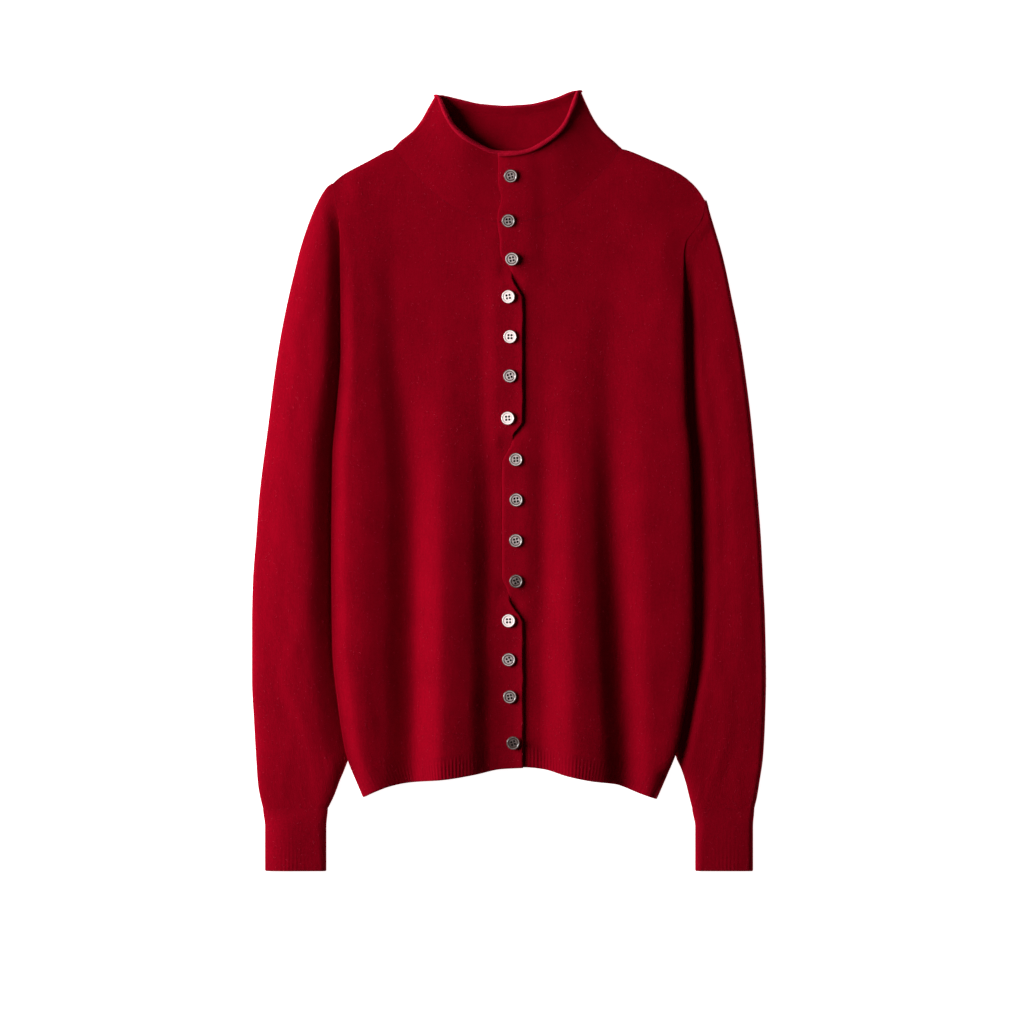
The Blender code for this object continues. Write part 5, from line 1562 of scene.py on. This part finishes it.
def grow_fuzz(look, pieces):
    sizes = {"Density": look.fibres, "Length": look.fibre_length, "Width": look.fibre_width}
    growth = Growth("fuzz", {**sizes, "Seed": FUZZ_SEED})
    spread = {"Mesh": growth.entry.outputs["Geometry"], "Density": growth.size("Density")}
    spread["Seed"] = growth.size("Seed")
    points = growth.node("GeometryNodeDistributePointsOnFaces", None, spread)
    turned = points.node.outputs["Rotation"]
    width = growth.maths("DIVIDE", growth.size("Width"), growth.size("Length"))
    fibre = growth.yarn(*FIBRE_BEND, width, sides=3, steps=3)
    tilt = {0: (-FIBRE_TILT, -FIBRE_TILT, 0.0), 1: (FIBRE_TILT, FIBRE_TILT, 2 * math.pi)}
    tilt = growth.node("FunctionNodeRandomValue", {"data_type": "FLOAT_VECTOR"}, tilt)
    tilt = growth.node("FunctionNodeEulerToRotation", None, {0: tilt})
    local = {"rotation_space": "LOCAL"}
    turned = growth.node("FunctionNodeRotateRotation", local, {"Rotation": turned, "Rotate By": tilt})
    between = {2: FIBRE_SCALE[0], 3: FIBRE_SCALE[1]}
    scale = growth.node("FunctionNodeRandomValue", {"data_type": "FLOAT"}, between, 1)
    scale = growth.maths("MULTIPLY", scale, growth.size("Length"))
    on = {"Points": points, "Instance": fibre, "Rotation": turned, "Scale": scale}
    on = growth.node("GeometryNodeInstanceOnPoints", None, on)
    material = fibre_material("loose_fibre", colour(look.fibre), colour(look.fuzz))
    return growth.made("loose_fibres", outside_of(pieces), on, material)


LINK_BEND = ((-0.42, -0.3, -0.05), (0.0, 0.0, 0.26), (0.42, 0.3, -0.05))
LINK_SINK = 0.06
LINK_FIRST_COLUMN = 6  # the neckline's stitches start here, in from the placket edge
LINK_BELOW_JOIN = 4.0  # and the armhole's start this far below JOIN_START


def seam_lines():
    """Lines of points along the neckline and the armhole seams, on the cloth."""
    lines = []
    for side in SIDES:
        mid = front_grid(side)[0]
        neck = mid[-1, LINK_FIRST_COLUMN : len(PLACKET_COLUMNS) + NECK_COLUMNS]
        shown = mid[:, -1, 1] > JOIN_START[side] - LINK_BELOW_JOIN
        lines += [neck, mid[shown, -1]]
    return lines


def grow_links(look):
    sizes = {"Step": look.link_step, "Length": look.link_length, "Width": look.link_width}
    growth = Growth("linking", sizes)
    line = growth.node("GeometryNodeMeshToCurve", None, {"Mesh": growth.entry.outputs["Geometry"]})
    step = {"mode": "LENGTH"}
    line = growth.node("GeometryNodeResampleCurve", step, {"Curve": line, "Length": growth.size("Step")})
    tangent = growth.node("GeometryNodeInputTangent")
    turned = growth.node("FunctionNodeAlignRotationToVector", {"axis": "X"}, {"Vector": tangent})
    width = growth.maths("DIVIDE", growth.size("Width"), growth.size("Length"))
    link = growth.yarn(*LINK_BEND, width, sides=4, steps=3)
    on = {"Points": line, "Instance": link, "Rotation": turned, "Scale": growth.size("Length")}
    on = growth.node("GeometryNodeInstanceOnPoints", None, on)
    points, edges = [], []
    for seam in seam_lines():
        first = len(points)
        raised_seam = seam + np.array([0.0, 0.0, WALL / 2 - LINK_SINK])
        points += (raised_seam * MM).tolist()
        edges += [(k, k + 1) for k in range(first, len(points) - 1)]
    base = bpy.data.meshes.new("linking_base")
    base.from_pydata(points, edges, [])
    material = fibre_material("linking_yarn", colour(look.knit, 0.75), colour(look.fibre, 0.6))
    return growth.made("linking_stitches", base, on, material)


THREAD_BEND = ((-0.1, 0.0, -0.6), (0.12, 0.08, -0.2), (0.0, -0.05, 0.0))
THREAD_LOW = 0.45


def grow_threads(look, places):
    """Fills the four holes of every button with its thread, near black: painted shade in the holes."""
    growth = Growth("button_thread", {"Width": look.thread_width})
    hole_shade_thread = growth.yarn(*THREAD_BEND, 1.0, sides=8, steps=3, caps=True)
    points = growth.node("GeometryNodeMeshToPoints", None, {"Mesh": growth.entry.outputs["Geometry"]})
    on = {"Points": points, "Instance": hole_shade_thread, "Scale": growth.size("Width")}
    on = growth.node("GeometryNodeInstanceOnPoints", None, on)
    feet = [hole + Vector((0, 0, THREAD_LOW * MM)) for hole in button_holes()]
    points = [place @ foot for place in places for foot in feet]
    base = bpy.data.meshes.new("thread_base")
    base.from_pydata([tuple(point) for point in points], [], [])
    return growth.made("button_threads", base, on, thread_material(look))


# ---------------------------------------------------------------- settings


def colour_setting(name, description, default):
    return bpy.props.FloatVectorProperty(
        name=name, description=description, default=default, size=3, min=0, max=1, subtype="COLOR"
    )


def length_setting(name, description, default):
    return bpy.props.FloatProperty(
        name=name, description=description, default=default, min=0, precision=5, unit="LENGTH"
    )


def share_setting(name, description, default, highest=1.0):
    return bpy.props.FloatProperty(
        name=name, description=description, default=default, min=0, max=highest, subtype="FACTOR"
    )


class ClothLook(bpy.types.PropertyGroup):
    """Yarn and stitches of the cardigan."""

    knit: colour_setting("Knit", "Colour of the plain knit", (0.26, 0.0006, 0.0085))
    ribs: colour_setting("Ribs", "Colour of the hem bands and cuffs", (0.25, 0.0006, 0.0085))
    fibre: colour_setting("Fibre", "Colour of the yarn's own fibre ends", (0.55, 0.009, 0.036))
    fuzz: colour_setting("Fuzz", "Colour of the loose fibres that catch the light", (0.7, 0.06, 0.1))
    wale: length_setting("Wale", "Width of one column of stitches", 0.0019)
    course: length_setting("Course", "Height of one row of stitches", 0.0013)
    relief: share_setting("Relief", "Strength of the stitches' relief", 0.55)
    fleck: share_setting("Flecks", "Strength of the pale flecks in the yarn", 0.5)
    # Strength of the painted highlight on the rolled and placket edges.
    edge: share_setting("Edges", "How pale the fibres make the rolled edges", 0.6)
    sheen: share_setting("Sheen", "Soft sheen of the surface", 0.3)
    fibres: bpy.props.FloatProperty(
        name="Fibres", description="Loose fibres on a square metre of cloth", default=19000.0, min=0
    )
    fibre_length: length_setting("Fibre length", "Length of a loose fibre", 0.0014)
    fibre_width: length_setting("Fibre width", "Thickness of a loose fibre", 0.00012)
    link_step: length_setting("Link step", "From one linking stitch of a seam to the next", 0.0019)
    link_length: length_setting("Link length", "Length of a linking stitch", 0.0017)
    link_width: length_setting("Link width", "Thickness of a linking stitch", 0.00042)


class RibLook(bpy.types.PropertyGroup):
    """Ribs of the hem bands and cuffs."""

    pitch: length_setting("Pitch", "From one rib to the next", 0.0034)
    height: length_setting("Height", "How far a rib stands out", 0.00044)


class ButtonLook(bpy.types.PropertyGroup):
    """Shell buttons and their sewing."""

    pale: colour_setting("Pale shell", "Colour of the palest buttons", (1.0, 0.85, 0.83))
    dark: colour_setting("Dark shell", "Colour of the darkest buttons", (0.078, 0.05, 0.045))
    # Strength of the painted glow that the shell's emission gives the buttons.
    painted_glow: share_setting("Lustre", "Light that the shell gives back from inside", 0.16)
    # Near-black thread colour: painted shade inside the button holes.
    hole_shade_thread: colour_setting("Thread", "Colour of the sewing thread", (0.004, 0.0015, 0.002))
    thread_width: length_setting("Thread width", "Width of the thread in each hole", 0.0022)


class StudioLook(bpy.types.PropertyGroup):
    """Floor, lights and camera."""

    floor: colour_setting("Floor", "Colour of the floor", (0.95, 0.95, 0.95))
    glow: bpy.props.FloatProperty(
        name="Glow", description="Light that the floor gives by itself", default=0.985, min=0
    )
    key: bpy.props.FloatProperty(
        name="Key light", description="Power of the large light beside the garment", default=103.0, min=0,
        subtype="POWER",
    )
    key_size: length_setting("Key size", "Width of the key light's disc", 1.6)
    key_height: bpy.props.FloatProperty(
        name="Key height", description="Angle of the key light above the floor",
        default=math.radians(28), subtype="ANGLE",
    )
    key_turn: bpy.props.FloatProperty(
        name="Key turn", description="Direction of the key light in plan, from the wearer's right",
        default=math.radians(12), subtype="ANGLE",
    )
    fill: bpy.props.FloatProperty(
        name="Fill light", description="Strength of the light from all round", default=0.03, min=0
    )
    across: length_setting("Across", "Width of what the camera shows", 0.942)


# ---------------------------------------------------------------- operators


FLOOR_HALF = 4.0  # metres, as are the other sizes of the studio
FLOOR_PARTS = 4
FLOOR_BELOW = 0.0003  # the floor is this far below the garment
KEY_DISTANCE = 2.4
CAMERA_PLACE = (0.0023, -0.0297, 8.0)
CAMERA_FAR = 100.0


class CARDIGAN_OT_fronts(bpy.types.Operator):
    """Knits the two fronts, whose edges change places three times down the placket"""

    bl_idname = "cardigan.fronts"
    bl_label = "Fronts"

    def execute(self, context):
        look = context.scene.cardigan_cloth
        material = knit_material("red_knit", look, look.knit)
        for side in SIDES:
            node = "front_" + side
            dress(make_front(side), node, material)
        return {"FINISHED"}


class CARDIGAN_OT_back(bpy.types.Operator):
    """Knits the back, which lies on the surface under the rest"""

    bl_idname = "cardigan.back"
    bl_label = "Back"

    def execute(self, context):
        material = bpy.data.materials["red_knit"]
        dress(make_back(), "back_panel", material)
        return {"FINISHED"}


class CARDIGAN_OT_collar(bpy.types.Operator):
    """Knits the funnel collar with its rolled top edge"""

    bl_idname = "cardigan.collar"
    bl_label = "Collar"

    def execute(self, context):
        material = bpy.data.materials["red_knit"]
        dress(make_collar(), "collar", material)
        return {"FINISHED"}


class CARDIGAN_OT_hems(bpy.types.Operator):
    """Makes the ribbed hem bands"""

    bl_idname = "cardigan.hems"
    bl_label = "Hem bands"

    def execute(self, context):
        look = context.scene.cardigan_cloth
        material = knit_material("red_rib", look, look.ribs, 0.6)
        for side in SIDES:
            node = "hem_front_" + side
            piece = make_front_hem(side, context.scene.cardigan_ribs)
            dress(piece, node, material)
        dress(make_back_hem(), "hem_back", material)
        return {"FINISHED"}


class CARDIGAN_OT_sleeves(bpy.types.Operator):
    """Knits the sleeves, flattened tubes beside and under the body"""

    bl_idname = "cardigan.sleeves"
    bl_label = "Sleeves"

    def execute(self, context):
        material = bpy.data.materials["red_knit"]
        for side in SIDES:
            node = "sleeve_" + side
            dress(make_sleeve(side), node, material)
        return {"FINISHED"}


class CARDIGAN_OT_cuffs(bpy.types.Operator):
    """Makes the ribbed cuffs"""

    bl_idname = "cardigan.cuffs"
    bl_label = "Cuffs"

    def execute(self, context):
        material = bpy.data.materials["red_rib"]
        for side in SIDES:
            node = "cuff_" + side
            dress(make_cuff(side, context.scene.cardigan_ribs), node, material)
        return {"FINISHED"}


class CARDIGAN_OT_buttons(bpy.types.Operator):
    """Turns the shell buttons and sets each in its place"""

    bl_idname = "cardigan.buttons"
    bl_label = "Buttons"

    def execute(self, context):
        material = shell_material(context.scene.cardigan_buttons)
        disc = button_mesh()
        places = [button_place(node, turn) for node, turn in zip(BUTTON_NODES, BUTTON_TURNS)]
        for node, place, tone in zip(BUTTON_NODES, places, BUTTON_TONES):
            mesh = disc.copy()
            mesh.name = "shell_" + node
            radii = [math.hypot(v.co.x, v.co.y) / MM for v in mesh.vertices]
            # Each button's own tone, plus the rings' painted highlight and painted shade.
            tones_and_painted_light = tone + along(BUTTON_LIGHT_AND_SHADE_RINGS, radii)
            mesh.transform(place)
            mesh.shade_smooth()
            mesh.set_sharp_from_angle(angle=math.radians(BUTTON_SHARP))
            mesh.attributes.new("tone", "FLOAT", "POINT").data.foreach_set("value", tones_and_painted_light)
            dress(added("shell_" + node, mesh), node, material)
        grow_threads(context.scene.cardigan_buttons, places)
        return {"FINISHED"}


class CARDIGAN_OT_fuzz(bpy.types.Operator):
    """Grows the loose fibres on the cloth and links the seams"""

    bl_idname = "cardigan.fuzz"
    bl_label = "Fuzz and seams"

    def execute(self, context):
        look = context.scene.cardigan_cloth
        cloth = [piece for piece in bpy.data.objects if piece.name.startswith(("knit_", "rib_"))]
        if not cloth:
            raise RuntimeError("the cloth isn't made yet")
        grow_links(look)
        grow_fuzz(look, cloth)
        return {"FINISHED"}


class CARDIGAN_OT_stage(bpy.types.Operator):
    """Sets the floor, the lights and the camera"""

    bl_idname = "cardigan.stage"
    bl_label = "Studio"

    def execute(self, context):
        look = context.scene.cardigan_studio
        work = bmesh.new()
        bmesh.ops.create_grid(work, x_segments=FLOOR_PARTS, y_segments=FLOOR_PARTS, size=FLOOR_HALF)
        floor = placed("pale_floor", work)
        floor.data.transform(Matrix.Translation((0, 0, -FLOOR_BELOW)))
        floor.data.materials.append(floor_material(look))

        plan = math.cos(look.key_height) * KEY_DISTANCE
        lamp = bpy.data.lights.new("key", "AREA")
        lamp.shape, lamp.size, lamp.energy = "DISK", look.key_size, look.key
        key = added("key", lamp)
        x, y = -math.cos(look.key_turn) * plan, math.sin(look.key_turn) * plan
        key.location = (x, y, math.sin(look.key_height) * KEY_DISTANCE)
        key.rotation_euler = (-Vector(key.location)).to_track_quat("-Z", "Y").to_euler()

        world = bpy.data.worlds.new("white_room")
        world.use_nodes = True
        background = world.node_tree.nodes["Background"]
        background.inputs["Color"].default_value = (1, 1, 1, 1)
        background.inputs["Strength"].default_value = look.fill
        context.scene.world = world

        lens = bpy.data.cameras.new("camera")
        lens.lens = lens.sensor_width * CAMERA_PLACE[2] / look.across
        lens.clip_end = CAMERA_FAR
        camera = added("camera", lens)
        camera.location = CAMERA_PLACE
        context.scene.camera = camera
        context.scene.view_settings.view_transform = "Standard"
        return {"FINISHED"}


OPERATORS = (
    CARDIGAN_OT_fronts,
    CARDIGAN_OT_back,
    CARDIGAN_OT_collar,
    CARDIGAN_OT_hems,
    CARDIGAN_OT_sleeves,
    CARDIGAN_OT_cuffs,
    CARDIGAN_OT_buttons,
    CARDIGAN_OT_fuzz,
    CARDIGAN_OT_stage,
)
LOOKS = {
    "cardigan_cloth": ClothLook,
    "cardigan_ribs": RibLook,
    "cardigan_buttons": ButtonLook,
    "cardigan_studio": StudioLook,
}


class CARDIGAN_PT_panel(bpy.types.Panel):
    """Lists the cardigan's settings and steps"""

    bl_label = "Cardigan"
    bl_idname = "CARDIGAN_PT_panel"
    bl_space_type = "VIEW_3D"
    bl_region_type = "UI"
    bl_category = "Cardigan"

    def draw(self, context):
        for name, look in LOOKS.items():
            box = self.layout.box()
            box.label(text=look.__doc__)
            for setting in look.__annotations__:
                box.prop(getattr(context.scene, name), setting)
        for operator in OPERATORS:
            self.layout.operator(operator.bl_idname)


def register():
    for kind in (*LOOKS.values(), *OPERATORS, CARDIGAN_PT_panel):
        bpy.utils.register_class(kind)
    for name, look in LOOKS.items():
        setattr(bpy.types.Scene, name, bpy.props.PointerProperty(type=look))


def unregister():
    for name in LOOKS:
        delattr(bpy.types.Scene, name)
    for kind in (*LOOKS.values(), *OPERATORS, CARDIGAN_PT_panel):
        bpy.utils.unregister_class(kind)


def main():
    register()
    for operator in OPERATORS:
        group, name = operator.bl_idname.split(".")
        getattr(getattr(bpy.ops, group), name)()


if __name__ == "__main__":
    main()
